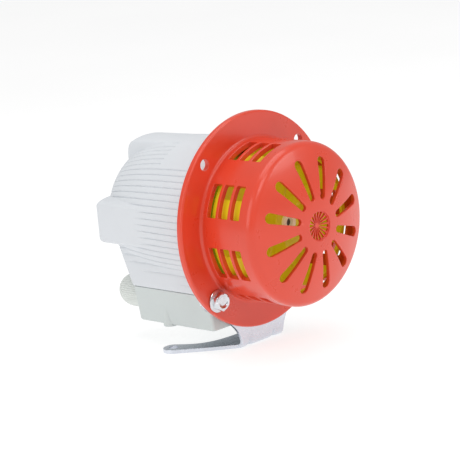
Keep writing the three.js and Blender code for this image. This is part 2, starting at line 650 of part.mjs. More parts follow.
// ---- flanged bolts and nuts through flange and bracket ----
function flangeBolt(x) {
  const bolt = joined([
    rodY(0, 0, BOLT_WASHER.radius, BOLT_WASHER.frontY, -GAP, 28),
    plateXZ(hexagon(BOLT_HEX), BOLT_HEAD_Y, BOLT_WASHER.frontY + 0.1),
    rodY(0, 0, BOLT_SHANK, -1, BOLT_END_Y),
  ]).subtract(rodY(0, 0, BOLT_DISH.radius, BOLT_HEAD_Y - 1, BOLT_HEAD_Y + BOLT_DISH.depth, 20));
  return bolt.translate([x, 0, -BOLT_X]);
}

function flangeNut(x) {
  const front = LAYER_BACK + GAP;
  return plateXZ(hexagon(BOLT_HEX), front, front + NUT_HEIGHT)
    .subtract(rodY(0, 0, NUT_BORE, front - 1, front + NUT_HEIGHT + 1))
    .translate([x, 0, -BOLT_X]);
}

for (const [side, x] of [['left', -BOLT_X], ['right', BOLT_X]]) {
  addPart(`flange_bolt_${side}`, flangeBolt(x), 0xd9dce0, 0.25, 1);
  addPart(`flange_nut_${side}`, flangeNut(x), 0xc9cdd2, 0.3, 1);
}

// ---- cable gland ----
function glandBody() {
  const collar = GLAND_FACE_Y + GAP;
  const threadStart = BOX_REAR_BOTTOM_Y - 10;
  const threadEnd = collar + GLAND_COLLAR + 11.5;
  return joined([
    rodY(GLAND_X, GLAND_Z, GLAND_THREAD, threadStart, threadEnd, 24),
    rodY(GLAND_X, GLAND_Z, GLAND_RADIUS + 0.6, collar, collar + GLAND_COLLAR, 30),
  ]).subtract(rodY(GLAND_X, GLAND_Z, GLAND_BORE, threadStart - 1, threadEnd + 1, 24));
}

function glandSeal() {
  const start = GLAND_FACE_Y + GLAND_COLLAR + 0.5;
  const { outer, inner, length } = GLAND_SEAL;
  return rodY(GLAND_X, GLAND_Z, outer, start, start + length, 24)
    .subtract(rodY(GLAND_X, GLAND_Z, inner, start - 1, start + length + 1, 24));
}

// Dome nut with fine axial ribs, open at the end for the cable.
function glandNut() {
  const start = GLAND_FACE_Y + 2 * GAP + GLAND_COLLAR;
  const { count, depth } = GLAND_FLUTES;
  const flutes = outline(Array.from(
    { length: 2 * count }, (_, i) => polar(GLAND_RADIUS - depth * (i % 2), i * 180 / count)));
  const roundTo = 60;
  const stretch = 1 / Math.sin(degrees(roundTo));
  const dome = arc(0, 0, GLAND_RADIUS, 0, roundTo, 4).map((p) => new THREE.Vector2(
    p.x, GLAND_END_Y - GLAND_RADIUS + p.y * stretch));
  const profile = [...points([0, start], [GLAND_RADIUS, start]), ...dome, ...points([0, GLAND_END_Y])];
  const cavity = rodY(0, 0, GLAND_HOLE + 0.4, start - 1, GLAND_END_Y - 10, 24)
    .add(rodY(0, 0, GLAND_OUTLET, start, GLAND_END_Y + 1, 24));
  return revolved(profile, count)
    .intersect(plateXZ(flutes, start - 1, GLAND_END_Y + 1))
    .subtract(cavity)
    .translate([GLAND_X, 0, GLAND_Z]);
}

function glandLocknut() {
  const [height, back] = [4, BOX_REAR_BOTTOM_Y - BOX_WALL - 1];
  return plateXZ(hexagon(20), back - height, back)
    .subtract(rodY(0, 0, GLAND_HOLE, back - height - 1, back + 1, 24))
    .translate([GLAND_X, 0, GLAND_Z]);
}

addPart('gland_body', glandBody(), 0xdfe3df, 0.55);
addPart('gland_seal', glandSeal(), 0x2b2b2b, 0.9);
addPart('gland_nut', glandNut(), 0xdfe3df, 0.55);
addPart('gland_locknut', glandLocknut(), 0xdfe3df, 0.55);

// ---- rotor ----
function sirenRotor() {
  const wallInner = ROTOR_RADIUS - ROTOR_WALL;
  const disc = ring(HUB_BORE, ROTOR_RADIUS, ROTOR_BACK_Y - ROTOR_DISC, ROTOR_BACK_Y, 32);
  const rim = ring(wallInner, ROTOR_RADIUS, ROTOR_FRONT_Y, ROTOR_FRONT_Y + ROTOR_RIM, 32);
  const hub = ring(HUB_BORE, HUB_RADIUS, HUB_FRONT_Y, ROTOR_BACK_Y, 24);
  const segment = sector(wallInner, ROTOR_RADIUS, 0, ROTOR_SEGMENT_ANGLE, 2);
  const wall = plateXZ(segment, ROTOR_FRONT_Y, ROTOR_BACK_Y);
  const vane = block(
    HUB_RADIUS - 1, wallInner + 2, VANE.frontY, ROTOR_BACK_Y, -VANE.halfThickness, VANE.halfThickness);
  const blades = [];
  for (let i = 0; i < ROTOR_SEGMENTS; i += 1) {
    const start = ROTOR_SEGMENT_START + i * 360 / ROTOR_SEGMENTS;
    blades.push(turned(wall, start), turned(vane, start + VANE.afterSegment));
  }
  return joined([disc, rim, hub, ...blades]);
}

function hubBush() {
  return ring(BUSH.inner, BUSH.outer, BUSH.frontY, BUSH.backY, 24);
}

// Turned shaft: a thin nose in the bush, then the full diameter through both bearings.
function motorShaft() {
  const nose = BUSH.inner - GAP;
  const noseY = BUSH.frontY + 2.5;
  const body = SHAFT_RADIUS - GAP;
  const edge = 0.6;
  return revolved(points(
    [0, noseY], [nose - edge, noseY], [nose, noseY + edge], [nose, ROTOR_BACK_Y + 1],
    [body, ROTOR_BACK_Y + 1.8], [body, SHAFT_END_Y - edge], [body - edge, SHAFT_END_Y],
    [0, SHAFT_END_Y]), 20);
}

addPart('siren_rotor', sirenRotor(), 0xc4ac0c, 0.4);
addPart('hub_bush', hubBush(), 0xd8cfae, 0.5);
addPart('motor_shaft', motorShaft(), 0x3c3a38, 0.4, 1);

// ---- motor ----
function throughBolts(radius, y0, y1) {
  return joined([-1, 1].map((side) => rodY(side * THROUGH_BOLT.x, 0, radius, y0, y1, 12)));
}

function motorPlate() {
  const hole = rodY(0, SCREW_CIRCLE, SCREW_BORE, 0, 12, 12);
  return ring(BEARING.outer + 5, BARREL_RADIUS - 0.8, LAYER_FRONT, LAYER_BACK, 36)
    .subtract(joined(Object.values(SCREW_ANGLES).map((angle) => turned(hole, angle))))
    .subtract(throughBolts(THROUGH_BOLT.bore, 0, 12));
}

function frontEndShield() {
  const face = LAYER_BACK + GAP;
  const seat = BEARING.outer + BEARING_SEAT_PLAY;
  const seatEnd = face + BEARING.width + 5;
  const edge = CORE_FRONT_Y - GAP;
  return revolved(points(
    [SHIELD_HOLE, face], [MOTOR_RADIUS, face], [MOTOR_RADIUS, edge], [SHIELD_INNER, edge],
    [SHIELD_INNER, face + 4], [SHIELD_BOSS + 1, face + 4], [SHIELD_BOSS, seatEnd], [seat, seatEnd],
    [seat, face + 2], [SHIELD_HOLE, face + 2]), 24)
    .subtract(throughBolts(THROUGH_BOLT.bore, 0, 40));
}

function rearEndShield() {
  const start = CORE_BACK_Y + GAP;
  const seat = BEARING.outer + BEARING_SEAT_PLAY;
  const [innerBack, seatBack] = [MOTOR_BACK_Y - 3, SHIELD_BOSS_END_Y - 1.7];
  const vent = solid(new THREE.CylinderGeometry(9, 9, 30, 8).rotateZ(Math.PI / 2).translate(45, 70, 0));
  return revolved(points(
    [SHIELD_INNER, start], [MOTOR_RADIUS, start], [MOTOR_RADIUS, MOTOR_BACK_Y], [SHIELD_BOSS, MOTOR_BACK_Y],
    [SHIELD_BOSS, SHIELD_BOSS_END_Y], [SHIELD_HOLE, SHIELD_BOSS_END_Y], [SHIELD_HOLE, seatBack],
    [seat, seatBack], [seat, innerBack], [SHIELD_INNER, innerBack]), 24)
    .subtract(joined(HOLE_ANGLES.map((angle) => turned(vent, angle))))
    .subtract(throughBolts(THROUGH_BOLT.bore, 50, 100));
}

function statorCore() {
  const { inner, shoe: shoeOuter, halfWidth, halfAngle } = POLE;
  const neck = block(shoeOuter - 1.5, STATOR_INNER + 1, CORE_FRONT_Y, CORE_BACK_Y, -halfWidth, halfWidth);
  const poles = [90, 270].flatMap((angle) => [
    turned(neck, angle),
    plateXZ(sector(inner, shoeOuter, angle - halfAngle, angle + halfAngle, 8), CORE_FRONT_Y, CORE_BACK_Y),
  ]);
  return joined([ring(STATOR_INNER, MOTOR_RADIUS, CORE_FRONT_Y, CORE_BACK_Y, 24), ...poles])
    .subtract(throughBolts(THROUGH_BOLT.bore, 0, 100));
}

// Field coil wound round one pole neck.
function fieldCoil(angle) {
  const { halfWidth, overhang, low, high, corner, window: half } = COIL;
  const [front, back] = [CORE_FRONT_Y - overhang, CORE_BACK_Y + overhang];
  const outer = roundedRectangle(-halfWidth, halfWidth, front, back, corner);
  const hole = roundedRectangle(-half, half, CORE_FRONT_Y - 0.4, CORE_BACK_Y + 0.4, 0.3, 1);
  return turned(plateXY(outer, low, high).subtract(plateXY(hole, low - 1, high + 1)), angle);
}

function armatureCore() {
  const { floor, halfWidth } = ARMATURE_SLOT;
  const slot = block(floor, ARMATURE_RADIUS + 5, 0, 100, -halfWidth, halfWidth);
  const slots = Array.from({ length: ARMATURE_SLOTS }, (_, i) => turned(slot, i * 360 / ARMATURE_SLOTS));
  return ring(SHAFT_RADIUS, ARMATURE_RADIUS, CORE_FRONT_Y + 1, CORE_BACK_Y - 1, 24).subtract(joined(slots));
}

function armatureWinding() {
  const { frontY, backY, inner, outer, barHalf, barFrom, barTo } = WINDING;
  const endTurn = (y0, y1) => revolved([
    ...points([inner, y0], [outer, y0]),
    ...arc(outer, (y0 + y1) / 2, (y1 - y0) / 2, -60, 60, 2),
    ...points([outer, y1], [inner, y1]),
  ], 12);
  const bar = block(barFrom, barTo, CORE_FRONT_Y - 1, CORE_BACK_Y + 1, -barHalf, barHalf);
  const bars = Array.from({ length: ARMATURE_SLOTS }, (_, i) => turned(bar, i * 360 / ARMATURE_SLOTS));
  return joined([endTurn(frontY, CORE_FRONT_Y + 0.6), endTurn(CORE_BACK_Y - 0.6, backY), ...bars]);
}

function commutator() {
  const { radius, from, to, collar, collarLength } = COMMUTATOR;
  const { count, halfWidth, floor } = COMMUTATOR_CUT;
  const cut = block(floor, radius + 2, from + collarLength, to + 10, -halfWidth, halfWidth);
  const cuts = Array.from({ length: count }, (_, i) => turned(cut, i * 360 / count));
  return ring(SHAFT_RADIUS, radius, from, to, 24)
    .add(ring(SHAFT_RADIUS, radius + collar, from, from + collarLength, 24))
    .subtract(joined(cuts));
}

function carbonBrush(angle) {
  const { y, halfX, halfY, top } = BRUSH;
  return turned(block(-halfX, halfX, y - halfY, y + halfY, COMMUTATOR.radius + GAP, top), angle);
}

function brushHolder(angle) {
  const { y } = BRUSH;
  const { halfX, halfY, low, top, wall, roof } = BRUSH_HOLDER;
  const holder = block(-halfX, halfX, y - halfY, y + halfY, low, top);
  const channel = block(-halfX + wall, halfX - wall, y - halfY + wall, y + halfY - wall, low - 4, top - roof);
  return turned(holder.subtract(channel), angle);
}

function brushSpring(angle) {
  const { low, high, radius, wire, turns } = BRUSH_SPRING;
  const steps = turns * 8;
  const rise = high - low - 2 * wire;
  const path = new THREE.CatmullRomCurve3(Array.from({ length: steps + 1 }, (_, i) => {
    const swing = 2 * Math.PI * turns * i / steps;
    return new THREE.Vector3(
      radius * Math.cos(swing), BRUSH.y + radius * Math.sin(swing), low + wire + rise * i / steps);
  }));
  const section = outline(arc(0, 0, wire, 0, 288, 4));
  const coil = new THREE.ExtrudeGeometry(section, { extrudePath: path, steps, bevelEnabled: false });
  return turned(solid(coil), angle);
}

function motorThroughBolt(side) {
  const headY = MOTOR_BACK_Y + GAP;
  const { x, shank, hex, headHeight } = THROUGH_BOLT;
  return joined([
    rodY(0, 0, shank, LAYER_BACK + 2 * GAP, headY + 0.5, 12),
    plateXZ(hexagon(hex), headY, headY + headHeight),
  ]).translate([side * x, 0, 0]);
}

function bearingOuter(y) {
  return ring(BEARING.outerInner, BEARING.outer, y, y + BEARING.width, 24);
}

function bearingInner(y) {
  return ring(SHAFT_RADIUS, BEARING.innerOuter, y, y + BEARING.width, 20);
}

addPart('motor_plate', motorPlate(), 0xb5b9bd, 0.4, 1);
addPart('motor_front_shield', frontEndShield(), 0x9fa3a6, 0.5, 1);
addPart('motor_rear_shield', rearEndShield(), 0x9fa3a6, 0.5, 1);
addPart('stator_core', statorCore(), 0x6d7074, 0.5, 1);
addPart('armature_core', armatureCore(), 0x6d7074, 0.5, 1);
addPart('armature_winding', armatureWinding(), 0xa5522a, 0.4, 0.6);
addPart('commutator', commutator(), 0xb87333, 0.35, 1);
for (const [end, y] of [['front', FRONT_BEARING_Y], ['rear', REAR_BEARING_Y]]) {
  addPart(`${end}_bearing_outer`, bearingOuter(y), 0xc0c3c6, 0.3, 1);
  addPart(`${end}_bearing_inner`, bearingInner(y), 0xc0c3c6, 0.3, 1);
}
for (const [side, angle] of [['top', 0], ['bottom', 180]]) {
  addPart(`field_coil_${side}`, fieldCoil(angle), 0x9a4a22, 0.4, 0.6);
  addPart(`brush_holder_${side}`, brushHolder(angle), 0xb08d3c, 0.4, 1);
  addPart(`carbon_brush_${side}`, carbonBrush(angle), 0x2a2a2c, 0.7);
  addPart(`brush_spring_${side}`, brushSpring(angle), 0xb9bcc0, 0.35, 1);
}
addPart('motor_through_bolt_left', motorThroughBolt(-1), 0xb9bcc0, 0.35, 1);
addPart('motor_through_bolt_right', motorThroughBolt(1), 0xb9bcc0, 0.35, 1);

// ---- fittings inside the terminal box ----
function terminalX(i) {
  return BLOCK.x0 + (i + 0.5) * (BLOCK.x1 - BLOCK.x0) / TERMINALS;
}

function terminalBlock() {
  const { x0, x1, y0, y1, z1 } = BLOCK;
  const { entry, wire, screw, divider } = BLOCK_HOLE;
  const middle = (y0 + y1) / 2;
  const entryZ = BOX_FLOOR_Z + entry;
  const pitch = (x1 - x0) / TERMINALS;
  const holes = [];
  for (let i = 0; i < TERMINALS; i += 1) {
    const x = terminalX(i);
    for (const y of [middle - TERMINAL_SCREW.offset, middle + TERMINAL_SCREW.offset]) {
      holes.push(rodZ(x, y, screw, entryZ, z1 + 1, 12));
    }
    holes.push(rodY(x, entryZ, wire, y0 - 1, y1 + 1, 12));
    const between = x - pitch / 2;
    if (i > 0) holes.push(block(between - divider, between + divider, y0 - 1, y1 + 1, entryZ + 4, z1 + 1));
  }
  return block(x0, x1, y0, y1, BOX_FLOOR_Z, z1).subtract(joined(holes));
}

function terminalScrew(i) {
  const { radius, offset, slotHalf } = TERMINAL_SCREW;
  const x = terminalX(i);
  const y = (BLOCK.y0 + BLOCK.y1) / 2 + offset;
  return rodZ(x, y, radius, BOX_FLOOR_Z + BLOCK_HOLE.entry + 3, BLOCK.z1 - 1, 12)
    .subtract(block(x - 3, x + 3, y - slotHalf, y + slotHalf, BLOCK.z1 - 2, BLOCK.z1));
}

function earthScrew() {
  const { x, y, washer, hex, height } = EARTH_SCREW;
  return rodZ(x, y, washer, BOX_FLOOR_Z, BOX_FLOOR_Z + 1, 20)
    .add(plateXY(hexagon(hex), BOX_FLOOR_Z + 0.9, BOX_FLOOR_Z + height).translate([x, y, 0]));
}

function suppressionCapacitor() {
  const { x0, x1, y0, y1, height } = CAPACITOR;
  return plateXY(roundedRectangle(x0, x1, y0, y1, 2, 2), BOX_FLOOR_Z, BOX_FLOOR_Z + height);
}

addPart('terminal_block', terminalBlock(), 0xe8e6dc, 0.5);
for (let i = 0; i < TERMINALS; i += 1) {
  addPart(`terminal_screw_${i + 1}`, terminalScrew(i), 0xb08d3c, 0.4, 1);
}
addPart('earth_screw', earthScrew(), 0xb08d3c, 0.4, 1);
addPart('suppression_capacitor', suppressionCapacitor(), 0xc9a53a, 0.5);

siren.position.set(0, -ORIGIN_BEHIND_FLANGE, AXIS_HEIGHT);

export default siren;
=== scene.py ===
"""Looks of a motor-driven alarm siren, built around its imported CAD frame.

Shapes are drawn in millimetres in the siren frame: its origin is the centre of the flange's front
face, the siren axis runs along Y with the sound grille facing -Y, and +Z is up. Shell.build moves
them into the row frame, in metres. Angles are in degrees, counter-clockwise as seen from the front.
"""
import json
import math

import bmesh
import bpy
import numpy as np
from mathutils import Matrix, Vector
from mathutils.geometry import delaunay_2d_cdt


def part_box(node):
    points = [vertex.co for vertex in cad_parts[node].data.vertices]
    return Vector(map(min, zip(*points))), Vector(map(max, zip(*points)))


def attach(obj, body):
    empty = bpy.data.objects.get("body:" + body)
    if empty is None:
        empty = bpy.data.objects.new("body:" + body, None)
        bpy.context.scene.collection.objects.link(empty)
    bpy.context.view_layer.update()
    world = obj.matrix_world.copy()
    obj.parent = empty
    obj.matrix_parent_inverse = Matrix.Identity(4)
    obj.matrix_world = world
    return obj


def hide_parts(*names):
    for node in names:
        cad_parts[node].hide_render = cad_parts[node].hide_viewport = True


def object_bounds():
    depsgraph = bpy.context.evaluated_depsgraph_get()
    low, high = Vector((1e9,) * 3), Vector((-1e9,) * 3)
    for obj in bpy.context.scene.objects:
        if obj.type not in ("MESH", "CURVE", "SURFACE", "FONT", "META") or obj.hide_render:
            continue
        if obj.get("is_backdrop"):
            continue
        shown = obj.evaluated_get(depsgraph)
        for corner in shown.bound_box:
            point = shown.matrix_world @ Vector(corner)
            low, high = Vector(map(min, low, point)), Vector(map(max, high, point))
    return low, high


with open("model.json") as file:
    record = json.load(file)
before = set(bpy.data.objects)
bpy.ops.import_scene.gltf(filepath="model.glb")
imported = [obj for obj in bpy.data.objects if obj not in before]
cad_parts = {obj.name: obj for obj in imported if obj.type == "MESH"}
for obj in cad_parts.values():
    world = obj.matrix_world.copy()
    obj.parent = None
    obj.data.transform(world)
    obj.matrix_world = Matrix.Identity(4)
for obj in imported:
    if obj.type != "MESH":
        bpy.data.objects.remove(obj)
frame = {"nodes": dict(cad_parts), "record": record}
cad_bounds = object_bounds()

MM = 0.001
TURN = 360

# ---- driving dimensions, in millimetres ----
FLANGE_RADIUS = 80
FLANGE_THICKNESS = 4.3
FLANGE_EDGE_ROUND = 1.5
BACK_EDGE_ROUND = 0.3
BARREL_RADIUS = 60
BARREL_INNER = 56
BARREL_BASE_FILLET = 2.5
FACE_APEX_Y = -60.6
FACE_DOME_RADIUS = 150
FACE_CENTRE_Y = FACE_APEX_Y + FACE_DOME_RADIUS
FACE_THICKNESS = 3
SHOULDER_FILLET = 7
GRILLE_TWIST = -3
HOLE_CIRCLE = 70.75
HOLE_RADIUS = 4.25
HOLE_ANGLES = (45, 135, 225, 315)
LIP = 0.45

SLOT_COUNT = 12
SLOT_INNER_TIP = 19.2
SLOT_OUTER_TIP = 49.6
SLOT_INNER_ROUND = 2.5
SLOT_OUTER_ROUND = 3.8

ROSETTE_RADIUS = 10.8
ROSETTE_RIBS = 18
ROSETTE_RIM_Y = -59.4
ROSETTE_CENTRE_Y = -57.2
ROSETTE_DEPTH = 1.6
ROSETTE_LIP = 0.16
GAP_FROM = 2
GAP_TO = 9.8
GAP_HALF_WIDTH = 0.75

LUG_HALF_WIDTH = 6
LUG_FRONT_Y = -2.5
LUG_DEPTH = 6.6
LUG_BORE = 2

WINDOW_GROUPS = 8
WINDOW_HALF_ANGLE = 12
WINDOW_CORNER = 0.9
WINDOW_ROWS = [(-13.6, -5.5), (-25.2, -16.3), (-36.5, -27.9)]

ROTOR_RADIUS = 53.5
ROTOR_WALL = 3.5
ROTOR_FRONT_Y = -38
ROTOR_BACK_Y = -4
ROTOR_DISC = 3
ROTOR_RING = 2.5
ROTOR_EDGE = 0.5
VANE_HALF = 1
VANE_FRONT_Y = -20
ROTOR_SEGMENTS = 8
ROTOR_SEGMENT_START = 151.5
ROTOR_SEGMENT_ANGLE = 22.5
HUB_FACE_Y = -29.9
HUB_RADIUS = 13.5
HUB_BORE = 7.2
BUSH_FRONT_Y = -31.5
BUSH_RADIUS = 6.5
BUSH_BORE = 3.4
SHAFT_RADIUS = 3.7
SHAFT_TIP_RADIUS = 3.1
SHAFT_END_Y = 95.7

SHEET = 3

HOUSING_FRONT_Y = 7.9
HOUSING_RADIUS = 60
HOUSING_WALL = 3
DOME_START_Y = 30
REAR_Y = 115
DOME_END_RADIUS = 40
RIB_COUNT = 76
LABEL_PATCH = {"from": 99.5, "to": 133.4, "end_y": 58}
SKIRT_HALF_WIDTH = 50
SEAM_Z = -48.3
REAR_SLOPE_START_Y = 88
REAR_SLOPE = 10.5 / 27.3
BOSS_HALF_WIDTH = 18
SIDE_BOSS = {
    "front": 58.6, "rear": 57.6, "rear_round": 6, "corner": 20, "plan_round": 6, "crowned": False}
BOSSES = (
    {"middle": 90, "front": 60.1, "rear": 57.4, "rear_round": 8, "corner": 7.5, "plan_round": 2,
     "crowned": True},
    {"middle": 180, **SIDE_BOSS},
    {"middle": 0, **SIDE_BOSS},
)
BOSS_BLEND = 1.1
SKIRT_BLEND = 0.6
SEAM_BLEND = 1.2
SCREW_RECESS = 8
COUNTERBORE_RADIUS = 4.4
SKIRT_OPENING_Y = (18, 84)
TOP_PLAIN_HALF_ANGLE = 15
BOSS_RIB_END_Y = 58
RIB_LIMIT_Y = (27, 47, 64, 79, 91, 100)
RIB_LIMIT_ANGLE = (40, 38, 36, 33.5, 29, 20)
SCREW_CIRCLE = 51
SCREW_ANGLES = {"top": 90, "left": 180, "right": 0}

BOX_FRONT_Y = 9
BOX_REAR_TOP_Y = 88
BOX_REAR_BOTTOM_Y = 87
BOX_CORNER = 2.5
BOX_TOP_Z = SEAM_Z - 0.3
BOX_BOTTOM_Z = -75.5
BOX_TAPER = 3
BOX_WALL = 2.8
BOX_RIM = BOX_WALL + 1.4
BOX_EDGE = 1.4
BOX_TOP_EDGE = 0.35
BOX_SCREW_X = 44
BOX_SCREW_Y = 57
CONE_TIP_Z = -56
CONE_FOOT_Z = BOX_BOTTOM_Z - 1.3
CONE_RADIUS = 5.5
CONE_BORE = 3.9
CONE_BORE_TOP_Z = CONE_FOOT_Z + 3.3

GLAND_X = -28
GLAND_Z = -58.6
GLAND_RADIUS = 13
GLAND_NUT_Y = 94.1
GLAND_END_Y = 120.5
GLAND_BORE = 6.8
GLAND_RIBS = 48
GLAND_FLUTE = 0.45
GLAND_OUTLET = 5.4

BOLT_X = HOLE_CIRCLE * math.sqrt(0.5)
EAR_RADIUS = 9
BEND_INNER = 3
BEND_Y = 10.6
BEND_Z = -88.5
NECK_HALF = 22.5
FOOT_TIP = (50, 50)
FOOT_TIP_RADIUS = 8
FOOT_HOLE = 3.5
DART_X = 13
DART_DEPTH = 2.4

ACROSS_FLATS = 12.6
NUT_HEIGHT = 4.2

# The siren frame's place in the row frame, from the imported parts.
front_low, front_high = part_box("front_housing")
SIREN_ORIGIN = Vector((
    (front_low.x + front_high.x) / 2,
    front_high.y - FLANGE_THICKNESS * MM,
    (front_low.z + front_high.z) / 2,
))


def new_object(name, data):
    item = bpy.data.objects.new(name, data)
    bpy.context.scene.collection.objects.link(item)
    return item


# ---- camera, at the reference view ----
VIEW_AZIMUTH = -45.39
VIEW_ELEVATION = 12.47
VIEW_ROLL = -5.04
VIEW_DISTANCE = 1467.4
VIEW_SHIFT_RIGHT = -21.39
VIEW_SHIFT_UP = -6.37
SENSOR = 36
LENS = SENSOR * 2000 / 460


def make_camera():
    azimuth, elevation, roll = (math.radians(a) for a in (VIEW_AZIMUTH, VIEW_ELEVATION, VIEW_ROLL))
    back = Vector((
        math.sin(azimuth) * math.cos(elevation),
        -math.cos(azimuth) * math.cos(elevation),
        math.sin(elevation),
    ))
    level_right = Vector((math.cos(azimuth), math.sin(azimuth), 0))
    level_up = back.cross(level_right)
    right = math.cos(roll) * level_right + math.sin(roll) * level_up
    up = math.cos(roll) * level_up - math.sin(roll) * level_right
    place = back * VIEW_DISTANCE + level_right * VIEW_SHIFT_RIGHT + level_up * VIEW_SHIFT_UP
    data = bpy.data.cameras.new("camera")
    data.sensor_width = SENSOR
    data.lens = LENS
    camera = new_object("camera", data)
    turn = Matrix((right, up, back)).transposed().to_4x4()
    camera.matrix_world = Matrix.Translation(SIREN_ORIGIN + place * MM) @ turn
    bpy.context.scene.camera = camera


make_camera()


# ---- mesh tools ----
class Shell:
    """The vertices and faces of one piece, collected patch by patch and welded at the end."""

    WELD = 0.003

    def __init__(self):
        self.points = []
        self.faces = []
        self.count = 0

    def add(self, points, faces):
        points = np.asarray(points, float).reshape(-1, 3)
        self.faces.extend([self.count + int(i) for i in face] for face in faces)
        self.points.append(points)
        self.count += len(points)

    def grid(self, rows, closed=True):
        """Quads between neighbouring rows of points; a closed row joins its end to its start."""
        rows = np.asarray(rows, float)
        height, width = rows.shape[:2]
        faces = []
        for row in range(height - 1):
            for column in range(width if closed else width - 1):
                following = (column + 1) % width
                faces.append((
                    row * width + column,
                    row * width + following,
                    (row + 1) * width + following,
                    (row + 1) * width + column,
                ))
        self.add(rows, faces)

    def cap(self, loop):
        self.add(loop, [range(len(loop))])

    def build(self, name, smooth_angle=38):
        mesh = bpy.data.meshes.new(name)
        points = np.concatenate(self.points) * MM + np.array(SIREN_ORIGIN)
        mesh.from_pydata(points.tolist(), [], self.faces)
        shape = bmesh.new()
        shape.from_mesh(mesh)
        bmesh.ops.remove_doubles(shape, verts=shape.verts, dist=self.WELD * MM)
        bmesh.ops.dissolve_degenerate(shape, edges=shape.edges, dist=self.WELD * MM)
        bmesh.ops.recalc_face_normals(shape, faces=shape.faces)
        shape.to_mesh(mesh)
        shape.free()
        item = new_object(name, mesh)
        smooth(item, smooth_angle)
        return item


def smooth(item, angle):
    item.data.shade_smooth()
    item.data.set_sharp_from_angle(angle=math.radians(angle))
    item.modifiers.new("weighted_normals", "WEIGHTED_NORMAL").keep_sharp = True


def arc(u, v, radius, start, end, steps):
    angles = np.radians(np.linspace(start, end, steps + 1))
    return np.stack([u + radius * np.cos(angles), v + radius * np.sin(angles)], 1)


def circle(radius, count, centre=(0, 0)):
    return arc(*centre, radius, 0, TURN, count)[:-1]


def outline(*parts):
    return np.concatenate([np.asarray(part, float).reshape(-1, 2) for part in parts])


def turned(loop, angle):
    c, s = math.cos(math.radians(angle)), math.sin(math.radians(angle))
    return np.asarray(loop) @ np.array([[c, s], [-s, c]])


def densified(loop, step):
    """The outline with its long edges divided."""
    result = []
    for start, end in zip(loop, np.roll(loop, -1, 0)):
        count = max(1, math.ceil(np.linalg.norm(end - start) / step - 1e-6))
        result.extend(start + (end - start) * i / count for i in range(count))
    return np.array(result)


def curved(points, steps=6):
    """A smooth curve through the points, which it starts and ends on."""
    points = np.asarray(points, float)
    padded = np.concatenate([[2 * points[0] - points[1]], points, [2 * points[-1] - points[-2]]])
    result = [points[0]]
    for a, b, c, d in zip(padded, padded[1:], padded[2:], padded[3:]):
        for i in range(1, steps + 1):
            t = i / steps
            result.append(0.5 * (2 * b + (c - a) * t + (2 * a - 5 * b + 4 * c - d) * t ** 2
                                 + (3 * b - a - 3 * c + d) * t ** 3))
    return np.array(result)


def rounded_rectangle(u0, u1, v0, v1, radius, steps):
    left, right, low, high = u0 + radius, u1 - radius, v0 + radius, v1 - radius
    corners = ((right, high, 0), (left, high, 90), (left, low, 180), (right, low, 270))
    return outline(*(arc(u, v, radius, start, start + 90, steps) for u, v, start in corners))


def moved_out(loop, distance):
    """A counter-clockwise outline moved outwards by a distance."""
    edge = np.roll(loop, -1, 0) - loop
    edge = edge / np.linalg.norm(edge, axis=1, keepdims=True)
    after = np.stack([edge[:, 1], -edge[:, 0]], 1)
    before = np.roll(after, 1, 0)
    middle = before + after
    middle = middle / np.linalg.norm(middle, axis=1, keepdims=True)
    stretch = 1 / np.maximum((middle * after).sum(1, keepdims=True), 0.5)
    return loop + middle * stretch * distance


def counter_clockwise(loop):
    u, v = loop[:, 0], loop[:, 1]
    area = np.sum(u * np.roll(v, -1) - v * np.roll(u, -1))
    return loop if area > 0 else loop[::-1]


def inside(loop, points):
    u, v = points[:, 0], points[:, 1]
    result = np.zeros(len(points), bool)
    for (u0, v0), (u1, v1) in zip(loop, np.roll(loop, -1, 0)):
        if v0 == v1:
            continue
        crosses = (v0 > v) != (v1 > v)
        result ^= crosses & (u < u0 + (v - v0) * (u1 - u0) / (v1 - v0))
    return result


def filled(boundary, cutouts, spacing):
    """Points and triangles over the area inside boundary and outside the cutouts."""
    loops = [boundary, *cutouts]
    low, high = boundary.min(0), boundary.max(0)
    rows = np.arange(low[1], high[1], spacing * math.sqrt(0.75))
    across = np.arange(low[0], high[0], spacing)
    grid = np.array([(u + (row % 2) * spacing / 2, v) for row, v in enumerate(rows) for u in across])

    def in_area(points):
        keep = inside(boundary, points)
        for cutout in cutouts:
            keep &= ~inside(cutout, points)
        return keep

    grid = grid[in_area(grid)]
    rim = np.concatenate(loops)
    clear = np.array([np.min(np.sum((rim - p) ** 2, 1)) > (0.55 * spacing) ** 2 for p in grid], bool)
    points = np.concatenate([rim, grid[clear]])
    edges = []
    start = 0
    for loop in loops:
        edges.extend((start + i, start + (i + 1) % len(loop)) for i in range(len(loop)))
        start += len(loop)
    found = delaunay_2d_cdt([Vector(p) for p in points], edges, [], 0, 1e-5)
    points = np.array([tuple(p) for p in found[0]])
    faces = np.array([tuple(f) for f in found[2]])
    return points, faces[in_area(points[faces].mean(1))]


def skin(shell, boundary, cutouts, place, depth, spacing):
    points, faces = filled(boundary, cutouts, spacing)
    shell.add(place(points, depth), faces)


def lip_levels(radius, thickness):
    """(distance outwards, depth) pairs from the front skin over a rounded lip to the back skin."""
    angles = np.linspace(0, math.pi / 2, 4)
    front = [(radius * (1 - math.sin(a)), radius * (1 - math.cos(a))) for a in angles]
    back = [(out, thickness - depth) for out, depth in reversed(front)]
    return front + back


def wall(shell, loop, levels, place, side=1):
    """The wall of a cutout (side 1) or of the plate's own edge (side -1)."""
    shell.grid([place(moved_out(loop, side * out), depth) for out, depth in levels])


